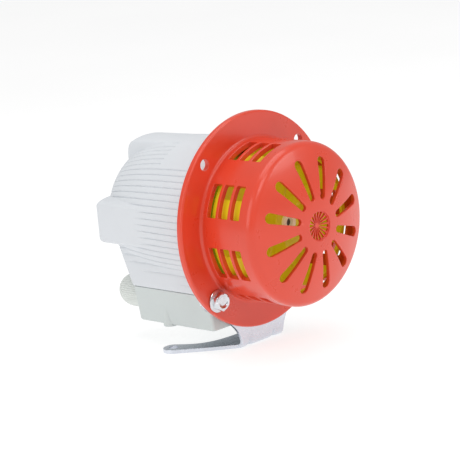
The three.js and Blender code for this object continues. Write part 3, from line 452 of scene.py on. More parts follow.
def plate(shell, boundaries, cutouts, thickness, lip, place, spacing, other_holes=()):
    """The front and back skins of a plate and its cutouts' rounded walls, bent to shape by place."""
    opened = [moved_out(cutout, lip) for cutout in [*cutouts, *other_holes]]
    for boundary, depth in zip(boundaries, (0, thickness)):
        skin(shell, boundary, opened, place, depth, spacing)
    for cutout in cutouts:
        wall(shell, cutout, lip_levels(lip, thickness), place)


def edged_plate(shell, boundary, cutouts, thickness, lip, place, spacing):
    """A plate whose own edge is rounded too."""
    plate(shell, [moved_out(boundary, -lip)] * 2, cutouts, thickness, lip, place, spacing)
    wall(shell, boundary, lip_levels(lip, thickness), place, -1)


def around(count):
    return np.arange(count) * TURN / count


def axis_points(radius, y, angles):
    """Points at (radius, angle, y) about the siren axis; the three are broadcast together."""
    radius, y, angles = np.broadcast_arrays(radius, y, np.radians(angles))
    return np.stack([radius * np.cos(angles), y, radius * np.sin(angles)], -1)


def rings(profile, angles, centre=(0, 0)):
    """One row of points for each (radius, y) of a profile, about a line along Y through centre (x, z)."""
    return [axis_points(radius, y, angles) + [centre[0], 0, centre[1]] for radius, y in profile]


def revolved(shell, profile, segments, centre=(0, 0), closed=False):
    profile = np.asarray(profile, float)
    if closed:
        profile = np.concatenate([profile, profile[:1]])
    shell.grid(rings(profile, around(segments), centre))


def unit(vector):
    return vector / np.linalg.norm(vector)


def rounded_profile(corners):
    """A closed profile from (radius, y, round) corners, each rounded by its own radius."""
    corners = np.asarray(corners, float)
    steps = 4
    result = []
    for before, corner, after in zip(np.roll(corners, 1, 0), corners, np.roll(corners, -1, 0)):
        here, size = corner[:2], corner[2]
        if size == 0:
            result.append(here)
            continue
        to_before, to_after = unit(before[:2] - here), unit(after[:2] - here)
        half = math.acos(np.clip(to_before @ to_after, -1, 1)) / 2
        reach = size / math.tan(half)
        start, end = here + to_before * reach, here + to_after * reach
        centre = here + unit(to_before + to_after) * size / math.sin(half)
        for i in range(steps + 1):
            spoke = (start - centre) * (1 - i / steps) + (end - centre) * (i / steps)
            result.append(centre + unit(spoke) * size)
    return np.array(result)


def cut(item, *cutters, overlapping=False):
    """Cuts the cutters out of the item and removes them; overlapping allows for crossing shells."""
    item.modifiers.clear()
    for cutter in cutters:
        modifier = item.modifiers.new("cut", "BOOLEAN")
        modifier.operation = "DIFFERENCE"
        modifier.solver = "EXACT"
        modifier.use_self = overlapping
        modifier.object = cutter
    bpy.context.view_layer.update()
    evaluated = item.evaluated_get(bpy.context.evaluated_depsgraph_get())
    mesh = bpy.data.meshes.new_from_object(evaluated)
    item.modifiers.clear()
    item.data = mesh
    for cutter in cutters:
        bpy.data.objects.remove(cutter)
    smooth(item, 38)


# ---- material tools ----
def is_socket(value):
    return isinstance(value, bpy.types.NodeSocket)


class Look:
    """One procedural material and its nodes."""

    def __init__(self, name, **constants):
        self.material = bpy.data.materials.new(name)
        self.material.use_nodes = True
        self.tree = self.material.node_tree
        self.shader = self.tree.nodes["Principled BSDF"]
        for socket, value in constants.items():
            self.shader.inputs[socket.replace("_", " ")].default_value = value
        self.coordinates = self.output("Object", "ShaderNodeTexCoord")

    def node(self, kind, inputs, **settings):
        node = self.tree.nodes.new(kind)
        for name, value in settings.items():
            setattr(node, name, value)
        for name, value in dict(inputs).items():
            if is_socket(value):
                self.tree.links.new(value, node.inputs[name])
            else:
                node.inputs[name].default_value = value
        return node

    def output(self, socket, kind, inputs=(), **settings):
        return self.node(kind, inputs, **settings).outputs[socket]

    def stretched(self, scale):
        return self.output("Vector", "ShaderNodeMapping", {"Vector": self.coordinates, "Scale": scale})

    def noise(self, scale, detail=3, vector=None, roughness=0.55):
        vector = vector or self.coordinates
        inputs = {"Vector": vector, "Scale": scale, "Detail": detail, "Roughness": roughness}
        return self.output("Fac", "ShaderNodeTexNoise", inputs)

    def cells(self, scale):
        return self.output("Color", "ShaderNodeTexVoronoi", {"Vector": self.coordinates, "Scale": scale})

    def ramp(self, value, *stops):
        node = self.node("ShaderNodeValToRGB", {"Fac": value})
        elements = node.color_ramp.elements
        while len(elements) < len(stops):
            elements.new(0.5)
        for element, (place, colour) in zip(elements, stops):
            element.position = place
            element.color = (*colour, 1)
        return node.outputs["Color"]

    def between(self, value, low, high, start=0.3, end=0.7):
        inputs = {"Value": value, "From Min": start, "From Max": end, "To Min": low, "To Max": high}
        return self.output("Result", "ShaderNodeMapRange", inputs)

    def mixed(self, share, first, second):
        first, second = (c if is_socket(c) else (*c, 1) for c in (first, second))
        return self.output(2, "ShaderNodeMix", {0: share, 6: first, 7: second}, data_type="RGBA")

    def edges(self):
        """How far a point stands out on a convex edge, from 0 to 1."""
        return self.between(self.output("Pointiness", "ShaderNodeNewGeometry"), 0, 1, 0.52, 0.62)

    def set(self, socket, value):
        self.tree.links.new(value, self.shader.inputs[socket])

    def bumps(self, *layers):
        """Layers of (height, strength, distance in metres), the coarsest first."""
        normal = None
        for height, strength, distance in layers:
            inputs = {"Height": height, "Strength": strength, "Distance": distance}
            if normal:
                inputs["Normal"] = normal
            normal = self.output("Normal", "ShaderNodeBump", inputs)
        self.set("Normal", normal)


def shade(colour, factor):
    return tuple(min(1, c * factor) for c in colour)


def moulded_plastic(name, colour, roughness, grain, spread, worn=None, waviness=0.12, **constants):
    """Injection-moulded plastic: cloudy colour, fine dust specks, a spark-eroded grain and worn edges."""
    look = Look(name, **constants)
    cloud = look.noise(28, 4)
    base = look.ramp(cloud, (0.25, shade(colour, 1 - spread)), (0.75, shade(colour, 1 + spread)))
    specks = look.between(look.noise(900, 2), 0, 0.16, 0.66, 0.8)
    base = look.mixed(specks, base, shade(colour, 0.86))
    base = look.mixed(look.between(look.edges(), 0, 0.35, 0, 1), base, worn or shade(colour, 1.25))
    look.set("Base Color", base)
    smears = look.noise(55, 5, look.stretched((1, 2.4, 1)), 0.65)
    look.set("Roughness", look.between(smears, roughness - 0.05, roughness + 0.08))
    look.bumps(
        (look.noise(18, 2), waviness, 0.0006),
        (look.noise(1400, 2), grain, 0.00004),
    )
    return look.material


def plated_steel(name, colour, roughness, spangle, streaks=(1, 1, 1), scratch=0.12, painted_reflection_span=None):
    """Plated steel: patches of crystal, faint rolling marks and brighter rubbed edges.

    The last argument is the span of Y over which surfaces that face upwards are darkened by a painted
    dark reflection.
    """
    look = Look(name, Metallic=1.0)
    tone = look.between(look.cells(420), 0, 1, 0, 1)
    base = look.ramp(tone, (0.2, shade(colour, 1 - spangle)), (0.8, shade(colour, 1 + spangle)))
    haze = look.noise(60, 4)
    base = look.mixed(look.between(haze, 0, 0.3), base, shade(colour, 0.84))
    # Painted reflection: upward-facing surfaces get a dark blue-grey tint, strongest at the low end of
    # the span, in place of a dark reflection.
    if painted_reflection_span:
        low, high = painted_reflection_span
        normal = look.output("Normal", "ShaderNodeNewGeometry")
        upward = look.output("Z", "ShaderNodeSeparateXYZ", {"Vector": normal})
        along = look.output("Y", "ShaderNodeSeparateXYZ", {"Vector": look.coordinates})
        near = look.between(along, 0.9, 0, low, high)
        flat = look.between(upward, 0, 1, 0.5, 0.9)
        painted_reflection_share = look.output(0, "ShaderNodeMath", {0: near, 1: flat}, operation="MULTIPLY")
        base = look.mixed(painted_reflection_share, base, (0.1, 0.118, 0.165))
    base = look.mixed(look.between(look.edges(), 0, 0.6, 0, 1), base, shade(colour, 1.3))
    look.set("Base Color", base)
    marks = look.noise(260, 4, look.stretched(streaks), 0.7)
    look.set("Roughness", look.between(marks, roughness - 0.07, roughness + 0.1))
    look.bumps((look.noise(90, 3), 0.1, 0.0002), (marks, scratch, 0.00003))
    return look.material


def wound_copper(name):
    """Enamelled wire laid side by side, with painted shade in the creases between the turns."""
    look = Look(name, Metallic=0.75, Coat_Weight=0.4)
    inputs = {"Vector": look.coordinates, "Scale": 420, "Distortion": 0.6}
    wire = look.output("Fac", "ShaderNodeTexWave", inputs, wave_type="BANDS", bands_direction="DIAGONAL")
    # Painted shade: the colour runs dark brown in the troughs of the bands, where the turns meet.
    look.set("Base Color", look.ramp(wire, (0.1, (0.12, 0.03, 0.01)), (0.8, (0.55, 0.2, 0.07))))
    look.set("Roughness", look.between(look.noise(200), 0.25, 0.45))
    look.bumps((wire, 0.6, 0.0003))
    return look.material


def soft_rubber(name):
    look = Look(name)
    base = look.ramp(look.noise(300, 4), (0.3, (0.012, 0.012, 0.012)), (0.8, (0.035, 0.034, 0.033)))
    look.set("Base Color", base)
    look.set("Roughness", look.between(look.noise(120), 0.7, 0.9))
    look.bumps((look.noise(1800, 2), 0.3, 0.00006))
    return look.material


# The look of each material slot of the record.
MATERIALS = {
    "red_plastic": moulded_plastic(
        "red_moulding", (0.73, 0.052, 0.018), 0.3, 0.1, 0.05, worn=(0.86, 0.16, 0.1),
        Coat_Weight=0.35, Coat_Roughness=0.12),
    "grey_plastic": moulded_plastic(
        "grey_moulding", (0.69, 0.715, 0.745), 0.56, 0.3, 0.02, worn=(0.8, 0.82, 0.84), waviness=0.05),
    "box_plastic": moulded_plastic(
        "box_moulding", (0.6, 0.645, 0.635), 0.56, 0.3, 0.02, worn=(0.72, 0.76, 0.75), waviness=0.05),
    "gland_plastic": moulded_plastic(
        "gland_moulding", (0.7, 0.73, 0.7), 0.5, 0.25, 0.02, worn=(0.82, 0.84, 0.82)),
    # Painted light: the yellow rotor glows faintly, lifting it where it sits in shade inside the barrel.
    "yellow_plastic": moulded_plastic(
        "yellow_moulding_painted_glow", (0.78, 0.69, 0.012), 0.38, 0.15, 0.06, worn=(0.86, 0.78, 0.1),
        Emission_Color=(0.56, 0.5, 0.008, 1), Emission_Strength=0.17),
    # Painted light: the cream bush glows faintly, lifting it where it sits in shade inside the rotor.
    "cream_plastic": moulded_plastic(
        "cream_moulding_painted_glow", (0.82, 0.72, 0.48), 0.45, 0.2, 0.05,
        Emission_Color=(0.7, 0.58, 0.36, 1), Emission_Strength=0.25),
    "ivory_plastic": moulded_plastic("ivory_moulding", (0.74, 0.72, 0.64), 0.4, 0.15, 0.04),
    # The bracket's steel carries a painted dark reflection on its upward-facing surfaces near the bend.
    "zinc_steel": plated_steel(
        "zinc_sheet", (0.7, 0.73, 0.8), 0.28, 0.025, streaks=(0.25, 2, 1), scratch=0.06,
        painted_reflection_span=(0.002, 0.036)),
    "bolt_steel": plated_steel("bolt_plating", (0.68, 0.7, 0.73), 0.2, 0.03),
    "dark_steel": plated_steel("shaft_steel", (0.12, 0.11, 0.1), 0.35, 0.1),
    "cast_aluminium": plated_steel("cast_aluminium", (0.42, 0.43, 0.44), 0.5, 0.08, scratch=0.4),
    "core_steel": plated_steel(
        "lamination_stack", (0.3, 0.31, 0.33), 0.45, 0.05, streaks=(0.05, 9, 0.05), scratch=0.5),
    "brass": plated_steel("brass", (0.62, 0.45, 0.17), 0.3, 0.05),
    "copper": wound_copper("enamelled_copper"),
    "rubber": soft_rubber("black_rubber"),
    "carbon": soft_rubber("carbon"),
}
COMMUTATOR_COPPER = plated_steel("copper_bar", (0.62, 0.3, 0.17), 0.3, 0.06)


def finish_piece(item, slot, body, node):
    item.data.materials.clear()
    item.data.materials.append(MATERIALS[slot])
    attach(item, body)
    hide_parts(node)


# ---- front housing ----
AROUND = 240
SPACING = 2.4


def dome_parts(dome_radius, barrel_radius, fillet):
    """(contact radius, centre of the shoulder fillet, contact angle) of a domed face on a barrel."""
    fillet_r = barrel_radius - fillet
    fillet_y = FACE_CENTRE_Y - math.sqrt((dome_radius - fillet) ** 2 - fillet_r ** 2)
    contact = dome_radius * fillet_r / (dome_radius - fillet)
    angle = math.degrees(math.atan2(fillet_y - FACE_CENTRE_Y, fillet_r))
    return contact, fillet_r, fillet_y, angle


def on_face(points, depth):
    squared = (points ** 2).sum(1)
    outer = FACE_CENTRE_Y - np.sqrt(FACE_DOME_RADIUS ** 2 - squared)
    inner = FACE_CENTRE_Y - np.sqrt((FACE_DOME_RADIUS - FACE_THICKNESS) ** 2 - squared)
    y = outer + (inner - outer) * depth / FACE_THICKNESS
    return np.stack([points[:, 0], y, points[:, 1]], 1)


def slot_outlines():
    inner = SLOT_INNER_TIP + SLOT_INNER_ROUND
    outer = SLOT_OUTER_TIP - SLOT_OUTER_ROUND
    flare = math.degrees(math.asin((SLOT_OUTER_ROUND - SLOT_INNER_ROUND) / (outer - inner)))
    slot = densified(outline(
        arc(outer, 0, SLOT_OUTER_ROUND, -90 - flare, 90 + flare, 20),
        arc(inner, 0, SLOT_INNER_ROUND, 90 + flare, 270 - flare, 16),
    ), SPACING)
    return [turned(slot, (i + 0.5) * TURN / SLOT_COUNT + GRILLE_TWIST) for i in range(SLOT_COUNT)]


def on_cylinder(radius, start_angle):
    """A place function for (arc length, y) points on a cylinder; depth goes towards the axis."""
    def place(points, depth):
        angles = start_angle + np.degrees(points[:, 0] / radius)
        return axis_points(radius - depth, points[:, 1], angles)
    return place


def unrolled(radius, y0, y1):
    """The outline of an unrolled cylinder whose two seam edges match."""
    length = 2 * math.pi * radius
    along = np.linspace(0, length, AROUND + 1)
    up = np.linspace(y0, y1, max(2, math.ceil((y1 - y0) / SPACING) + 1))
    return outline(
        np.stack([along, np.full_like(along, y0)], 1)[:-1],
        np.stack([np.full_like(up, length), up], 1)[:-1],
        np.stack([along[::-1], np.full_like(along, y1)], 1)[:-1],
        np.stack([np.zeros_like(up), up[::-1]], 1)[:-1],
    )


def window_outlines():
    arc_mm = math.radians(1) * BARREL_RADIUS
    windows = []
    for group in range(WINDOW_GROUPS):
        middle = (group + 0.5) * TURN / WINDOW_GROUPS + GRILLE_TWIST
        u0, u1 = ((middle + side * WINDOW_HALF_ANGLE) % TURN * arc_mm for side in (-1, 1))
        for y0, y1 in WINDOW_ROWS:
            windows.append(densified(rounded_rectangle(u0, u1, y0, y1, WINDOW_CORNER, 4), 1.8))
    return windows


def flat_plate(front_y):
    def place(points, depth):
        return np.stack([points[:, 0], np.full(len(points), front_y + depth), points[:, 1]], 1)
    return place


def add_face(shell):
    contact = dome_parts(FACE_DOME_RADIUS, BARREL_RADIUS, SHOULDER_FILLET)[0]
    inner_contact = dome_parts(FACE_DOME_RADIUS - FACE_THICKNESS, BARREL_INNER, SHOULDER_FILLET / 2)[0]
    skins = [circle(contact, AROUND), circle(inner_contact, AROUND)]
    centre_hole = circle(ROSETTE_RADIUS, ROSETTE_RIBS * 8)
    plate(shell, skins, slot_outlines(), FACE_THICKNESS, LIP, on_face, SPACING, [centre_hole])
    add_rosette(shell, centre_hole, lip_levels(LIP, FACE_THICKNESS))


def on_dish(points, depth):
    share = np.sqrt((points ** 2).sum(1)) / ROSETTE_RADIUS
    y = ROSETTE_CENTRE_Y + (ROSETTE_RIM_Y - ROSETTE_CENTRE_Y) * share ** 1.5
    return np.stack([points[:, 0], y + depth, points[:, 1]], 1)


def add_rosette(shell, rim, levels):
    """The recess wall round the centre, and the dished rosette of thin ribs in it."""
    half = len(levels) // 2
    front = [on_face(moved_out(rim, out), depth) for out, depth in levels[:half]]
    shell.grid([*front, on_dish(rim, 0)])
    back = [on_face(moved_out(rim, out), depth) for out, depth in levels[half:]]
    shell.grid([on_dish(rim, ROSETTE_DEPTH), *back])
    gap = densified(outline(
        arc(GAP_FROM, 0, 0.12, 120, 240, 4),
        arc(GAP_TO, -GAP_HALF_WIDTH, 0.4, -80, 0, 4),
        arc(GAP_TO, GAP_HALF_WIDTH, 0.4, 0, 80, 4),
    ), 0.9)
    gaps = [turned(gap, (i + 0.5) * TURN / ROSETTE_RIBS) for i in range(ROSETTE_RIBS)]
    plate(shell, [rim, rim], gaps, ROSETTE_DEPTH, ROSETTE_LIP, on_dish, 0.8)


def add_barrel(shell):
    fillet_r, fillet_y, angle = dome_parts(FACE_DOME_RADIUS, BARREL_RADIUS, SHOULDER_FILLET)[1:]
    revolved(shell, arc(fillet_r, fillet_y, SHOULDER_FILLET, angle, 0, 12), AROUND)
    inner_dome = FACE_DOME_RADIUS - FACE_THICKNESS
    inner_r, inner_y, inner_angle = dome_parts(inner_dome, BARREL_INNER, SHOULDER_FILLET / 2)[1:]
    revolved(shell, arc(inner_r, inner_y, SHOULDER_FILLET / 2, inner_angle, 0, 6), AROUND)
    outer = unrolled(BARREL_RADIUS, fillet_y, -BARREL_BASE_FILLET)
    inner = unrolled(BARREL_RADIUS, inner_y, FLANGE_THICKNESS)
    place = on_cylinder(BARREL_RADIUS, 0)
    plate(shell, [outer, inner], window_outlines(), BARREL_RADIUS - BARREL_INNER, LIP, place, SPACING)


def add_flange(shell):
    base, edge, back = BARREL_BASE_FILLET, FLANGE_EDGE_ROUND, BACK_EDGE_ROUND
    revolved(shell, arc(BARREL_RADIUS + base, -base, base, 180, 90, 6), AROUND)
    holes = [circle(HOLE_RADIUS, 40, turned([HOLE_CIRCLE, 0], angle)) for angle in HOLE_ANGLES]
    opened = [moved_out(hole, LIP) for hole in holes]
    place = flat_plate(0)
    front_inner = circle(BARREL_RADIUS + base, AROUND)
    skin(shell, circle(FLANGE_RADIUS - edge, AROUND), [front_inner, *opened], place, 0, 4)
    back_inner = circle(BARREL_INNER, AROUND)
    skin(shell, circle(FLANGE_RADIUS - back, AROUND), [back_inner, *opened], place, FLANGE_THICKNESS, 4)
    for hole in holes:
        wall(shell, hole, lip_levels(LIP, FLANGE_THICKNESS), place)
    revolved(shell, outline(
        arc(FLANGE_RADIUS - edge, edge, edge, -90, 0, 6),
        arc(FLANGE_RADIUS - back, FLANGE_THICKNESS - back, back, 0, 90, 3),
    ), AROUND)


def add_lugs(shell):
    """Three lugs inside the barrel that the long housing screws are driven into."""
    half = LUG_HALF_WIDTH
    lug = rounded_rectangle(SCREW_CIRCLE - 5.5, BARREL_INNER + 1.5, -half, half, 1, 3)
    bore = circle(LUG_BORE, 24, (SCREW_CIRCLE, 0))
    place = flat_plate(LUG_FRONT_Y)
    for angle in SCREW_ANGLES.values():
        edged_plate(shell, turned(lug, angle), [turned(bore, angle)], LUG_DEPTH, 0.3, place, 3)


def front_housing():
    shell = Shell()
    add_face(shell)
    add_barrel(shell)
    add_flange(shell)
    add_lugs(shell)
    finish_piece(shell.build("red_front_housing"), "red_plastic", "casing", "front_housing")


# ---- rear housing ----
GROOVE_COLUMNS = [0, 0.22, 0.45, 0.8, 1.5, 2.48]
GROOVE_HEIGHTS = [-0.85, -0.62, -0.25, -0.06, 0.0, 0.0]


def smooth_max(a, b, size):
    share = np.clip(0.5 + 0.5 * (a - b) / size, 0, 1)
    return b * (1 - share) + a * share + size * share * (1 - share)


def smooth_min(a, b, size):
    return -smooth_max(-a, -b, size)


def rib_columns():
    """Angles of the grid columns and the groove height on each, rib by rib."""
    pitch = TURN / RIB_COUNT
    per_mm = math.degrees(1 / HOUSING_RADIUS)
    offsets = [-d for d in GROOVE_COLUMNS[:0:-1]] + GROOVE_COLUMNS[:-1]
    heights = GROOVE_HEIGHTS[:0:-1] + GROOVE_HEIGHTS[:-1]
    angles = [90 + (i + 0.5) * pitch + offset * per_mm for i in range(RIB_COUNT) for offset in offsets]
    return np.array(angles) % TURN, np.tile(heights, RIB_COUNT)


def rear_rows(inset):
    """Y of the grid rows, closer together where the shell bends."""
    front = [HOUSING_FRONT_Y, HOUSING_FRONT_Y + 0.15, HOUSING_FRONT_Y + 0.5, 11, 14, 16.5, 22]
    patch_end = [57.3, 57.8, 58.3, 58.8]
    depth = REAR_Y - inset - DOME_START_Y
    bent = [DOME_START_Y + depth * math.sin(math.radians(a)) for a in range(0, 91, 3)]
    slope = np.arange(REAR_SLOPE_START_Y - inset, REAR_SLOPE_START_Y - inset + 12, 0.8) + 0.17
    return np.sort(np.concatenate([front, patch_end, bent, slope]))


def rounding(y, end, radius):
    """How far a quarter-round edge has dropped at y, before its end."""
    tail = np.clip((y - (end - radius)) / radius, 0, 1)
    return radius * (1 - np.sqrt(np.maximum(1 - tail ** 2, 0)))


def boss_radius(angles, y, boss, inset):
    """Radius of a flat or crowned boss, rounded along its edges and its rear."""
    phi = np.radians((angles - boss["middle"] + 180) % TURN - 180)
    end = REAR_Y - inset
    share = (y - HOUSING_FRONT_Y) / (end - HOUSING_FRONT_Y)
    top = boss["front"] + (boss["rear"] - boss["front"]) * share - inset
    top -= rounding(y, end, boss["rear_round"])
    half_width = BOSS_HALF_WIDTH - inset - rounding(y, end, boss["plan_round"])
    cosine = 1 if boss["crowned"] else np.maximum(np.cos(phi), 0.05)
    radius = smooth_min(top / cosine, half_width / np.maximum(np.abs(np.sin(phi)), 0.02), boss["corner"])
    return np.where(np.cos(phi) > 0.5, radius, 0)


def groove_share(angles, y, bulge):
    """How much of the grooves' depth is left: none on the patch, the rear of the bosses and the skirt."""
    share = np.clip((y - DOME_START_Y) / (REAR_Y - DOME_START_Y), 0, 1)
    fade = 1 - np.clip((share - 0.93) / 0.07, 0, 1) ** 2
    plain = (angles > LABEL_PATCH["from"]) & (angles < LABEL_PATCH["to"])
    patch = plain * np.clip((LABEL_PATCH["end_y"] + 0.4 - y) / 0.8, 0, 1)
    on_boss = np.clip((bulge + 0.6) / 1.2, 0, 1)
    top = np.abs(angles - BOSSES[0]["middle"]) < TOP_PLAIN_HALF_ANGLE
    boss = np.where(top, 1.0, on_boss * np.clip((y - BOSS_RIB_END_Y) / 14, 0, 1))
    below = np.degrees(np.arcsin(np.clip(-np.sin(np.radians(angles)), 0, 1)))
    limit = np.interp(y, RIB_LIMIT_Y, RIB_LIMIT_ANGLE)
    skirt = np.clip((below - limit) / 1.5, 0, 1)
    return fade * (1 - patch) * (1 - boss) * (1 - skirt)


def rear_radius(angles, grooves, y, inset):
    """Outer radius of the rear housing at one y, for all columns."""
    end = REAR_Y - inset
    share = np.clip((y - DOME_START_Y) / (end - DOME_START_Y), 0, 1)
    drop = HOUSING_RADIUS - DOME_END_RADIUS
    dome = DOME_END_RADIUS + drop * math.sqrt(max(0, 1 - share ** 2)) - inset
    radius = np.full_like(angles, dome)
    bulge = np.full_like(angles, -TURN)
    for boss in BOSSES:
        raised = boss_radius(angles, y, boss, inset)
        bulge = np.maximum(bulge, raised - dome)
        radius = smooth_max(radius, raised, BOSS_BLEND)
    sine, cosine = np.sin(np.radians(angles)), np.cos(np.radians(angles))
    below = sine < 0
    lowest = REAR_SLOPE_START_Y - inset
    floor = SEAM_Z + inset + max(0, y - lowest) / REAR_SLOPE
    floor = min(floor, -BOSS_HALF_WIDTH + inset)
    side_wall = (SKIRT_HALF_WIDTH - inset) / np.maximum(np.abs(cosine), 0.02)
    skirt_end = lowest + REAR_SLOPE * (-BOSS_HALF_WIDTH - SEAM_Z)
    if y < skirt_end:
        radius = np.where(below, smooth_max(radius, side_wall * (side_wall < 90), SKIRT_BLEND), radius)
    radius = radius + grooves * groove_share(angles, y, bulge)
    bottom = np.abs(floor) / np.maximum(np.abs(sine), 0.02)
    return np.where(below, smooth_min(radius, bottom, SEAM_BLEND), radius)


def add_rear_skin(shell, inset):
    angles, heights = rib_columns()
    grooves = heights if inset == 0 else np.zeros_like(heights)
    rows = []
    for y in rear_rows(inset):
        radius = rear_radius(angles, grooves, y, inset)
        start = y - HOUSING_FRONT_Y
        rim = 0.4 * (1 - min(1, start / 0.5)) if inset == 0 else 0
        rows.append(axis_points(radius - rim, y, angles))
    last = rows[-1]
    for share in (0.97, 0.8, 0.55, 0.3, 0.1, 0):
        cap = last * share
        cap[:, 1] = REAR_Y - inset
        rows.append(cap)
    shell.grid(rows)
    return rows[0]


def cylinder_cutter(radius, x, z, y0, y1):
    shell = Shell()
    revolved(shell, [(0, y0), (radius, y0), (radius, y1), (0, y1)], 48, (x, z))
    return shell.build("cutter")


def block_cutter(x0, x1, y0, y1, z0, z1):
    shell = Shell()
    loop = densified(rounded_rectangle(x0, x1, y0, y1, 2, 4), 40)
    ends = [[(x, y, z) for x, y in loop] for z in (z0, z1)]
    for end in ends:
        shell.cap(end)
    shell.grid(ends)
    return shell.build("cutter")


def rear_housing():
    shell = Shell()
    outer_rim = add_rear_skin(shell, 0)
    inner_rim = add_rear_skin(shell, HOUSING_WALL)
    shell.grid([outer_rim, inner_rim])
    item = shell.build("grey_rear_housing", 30)
    cutters = []
    for angle in SCREW_ANGLES.values():
        x, z = turned([SCREW_CIRCLE, 0], angle)
        cutters.append(cylinder_cutter(COUNTERBORE_RADIUS, x, z, REAR_Y - SCREW_RECESS, REAR_Y + 1))
    inner_x = SKIRT_HALF_WIDTH - HOUSING_WALL
    top_z = SEAM_Z + HOUSING_WALL + 1
    cutters.append(block_cutter(-inner_x, inner_x, *SKIRT_OPENING_Y, SEAM_Z - 2, top_z))
    cut(item, *cutters)
    finish_piece(item, "grey_plastic", "casing", "rear_housing")


# ---- terminal box ----
def box_loop(z, inset):
    depth = (BOX_TOP_Z - z) / (BOX_TOP_Z - BOX_BOTTOM_Z)
    half = SKIRT_HALF_WIDTH - depth * BOX_TAPER - inset
    rear = BOX_REAR_TOP_Y - depth * (BOX_REAR_TOP_Y - BOX_REAR_BOTTOM_Y) - inset
    loop = rounded_rectangle(-half, half, BOX_FRONT_Y + inset, rear, max(0.8, BOX_CORNER - inset / 2), 8)
    return [(x, y, z) for x, y in loop]


def terminal_box():
    shell = Shell()
    rim = box_loop(BOX_TOP_Z, BOX_RIM)
    outer = [rim, box_loop(BOX_TOP_Z, BOX_TOP_EDGE), box_loop(BOX_TOP_Z - 0.1, 0.12),
             box_loop(BOX_TOP_Z - BOX_TOP_EDGE, 0)]
    outer += [box_loop(z, 0) for z in np.linspace(BOX_TOP_Z - 3, BOX_BOTTOM_Z + BOX_EDGE, 6)]
    for out, depth in arc(0, 0, BOX_EDGE, 15, 90, 5):
        outer.append(box_loop(BOX_BOTTOM_Z + BOX_EDGE - depth, BOX_EDGE - out))
    inner = [rim, box_loop(BOX_TOP_Z - 3.2, BOX_RIM)]
    inner += [box_loop(z, BOX_WALL) for z in (BOX_TOP_Z - 3.6, BOX_BOTTOM_Z + BOX_WALL + 1)]
    inner.append(box_loop(BOX_BOTTOM_Z + BOX_WALL, BOX_WALL + 1))
    for rows in (outer, inner):
        shell.grid(rows)
        shell.cap(rows[-1])
    add_box_cones(shell)
    pad = rounded_profile([(GLAND_BORE, 84, 0), (9.9, 84, 0), (9.9, 90, 0.5), (GLAND_BORE, 90, 0)])
    revolved(shell, pad, 64, (GLAND_X, GLAND_Z), closed=True)
    item = shell.build("grey_terminal_box", 30)
    cut(item, cylinder_cutter(GLAND_BORE, GLAND_X, GLAND_Z, 78, 92), overlapping=True)
    finish_piece(item, "box_plastic", "casing", "terminal_box")


def add_box_cones(shell):
    """Pointed half-cone bosses for the two box screws, which widen towards the bottom."""
    profile = rounded_profile([
        (0, CONE_TIP_Z, 0), (0.6, CONE_TIP_Z, 0.2), (CONE_RADIUS, CONE_FOOT_Z, 0.5),
        (CONE_BORE, CONE_FOOT_Z, 0.3), (CONE_BORE, CONE_BORE_TOP_Z, 0), (0, CONE_BORE_TOP_Z, 0)])
    angles = np.radians(around(48))
    for side in (-1, 1):
        rows = []
        for r, z in profile:
            depth = np.clip((BOX_TOP_Z - z) / (BOX_TOP_Z - BOX_BOTTOM_Z), 0, 1)
            wall_x = SKIRT_HALF_WIDTH - depth * BOX_TAPER
            tip = np.clip((z - BOX_BOTTOM_Z) / (CONE_TIP_Z - BOX_BOTTOM_Z), 0, 1)
            centre_x = BOX_SCREW_X + tip * (wall_x - 1.2 - BOX_SCREW_X)
            rows.append(np.stack([
                side * centre_x + r * np.cos(angles),
                BOX_SCREW_Y + r * np.sin(angles),
                np.full_like(angles, z)], 1))
        shell.grid(rows)


# ---- rotor, bush and shaft ----
def rotor():
    shell = Shell()
    inner = ROTOR_RADIUS - ROTOR_WALL
    disc_front = ROTOR_BACK_Y - ROTOR_DISC
    front_edge = ROTOR_FRONT_Y + ROTOR_EDGE
    start = ROTOR_SEGMENT_START + ROTOR_SEGMENT_ANGLE / 2
    place = on_cylinder(ROTOR_RADIUS, start)
    per_degree = math.radians(1) * ROTOR_RADIUS
    openings = []
    for i in range(ROTOR_SEGMENTS):
        u0 = (ROTOR_SEGMENT_ANGLE / 2 + i * TURN / ROTOR_SEGMENTS) * per_degree
        u1 = u0 + (TURN / ROTOR_SEGMENTS - ROTOR_SEGMENT_ANGLE) * per_degree
        opening = rounded_rectangle(u0, u1, ROTOR_FRONT_Y + ROTOR_RING, disc_front, 0.8, 4)
        openings.append(densified(opening, 2))
    outer_loop = unrolled(ROTOR_RADIUS, front_edge, ROTOR_BACK_Y - ROTOR_EDGE)
    inner_loop = unrolled(ROTOR_RADIUS, front_edge, disc_front + 1)
    plate(shell, [outer_loop, inner_loop], openings, ROTOR_WALL, LIP, place, SPACING)
    rim = outline(
        arc(inner + ROTOR_EDGE, front_edge, ROTOR_EDGE, 180, 270, 4),
        arc(ROTOR_RADIUS - ROTOR_EDGE, front_edge, ROTOR_EDGE, 270, 360, 4),
    )
    disc = rounded_profile([
        (inner, disc_front + 1, 0), (inner, disc_front, 0), (HUB_RADIUS, disc_front, 1),
        (HUB_RADIUS, HUB_FACE_Y, 0.6), (HUB_BORE, HUB_FACE_Y, 0.4), (HUB_BORE, ROTOR_BACK_Y, 0.3),
        (ROTOR_RADIUS, ROTOR_BACK_Y, ROTOR_EDGE)])
    for profile in (rim, disc):
        shell.grid(rings(profile, start + around(AROUND)))
    add_vanes(shell)
    finish_piece(shell.build("yellow_rotor"), "yellow_plastic", "rotor", "siren_rotor")


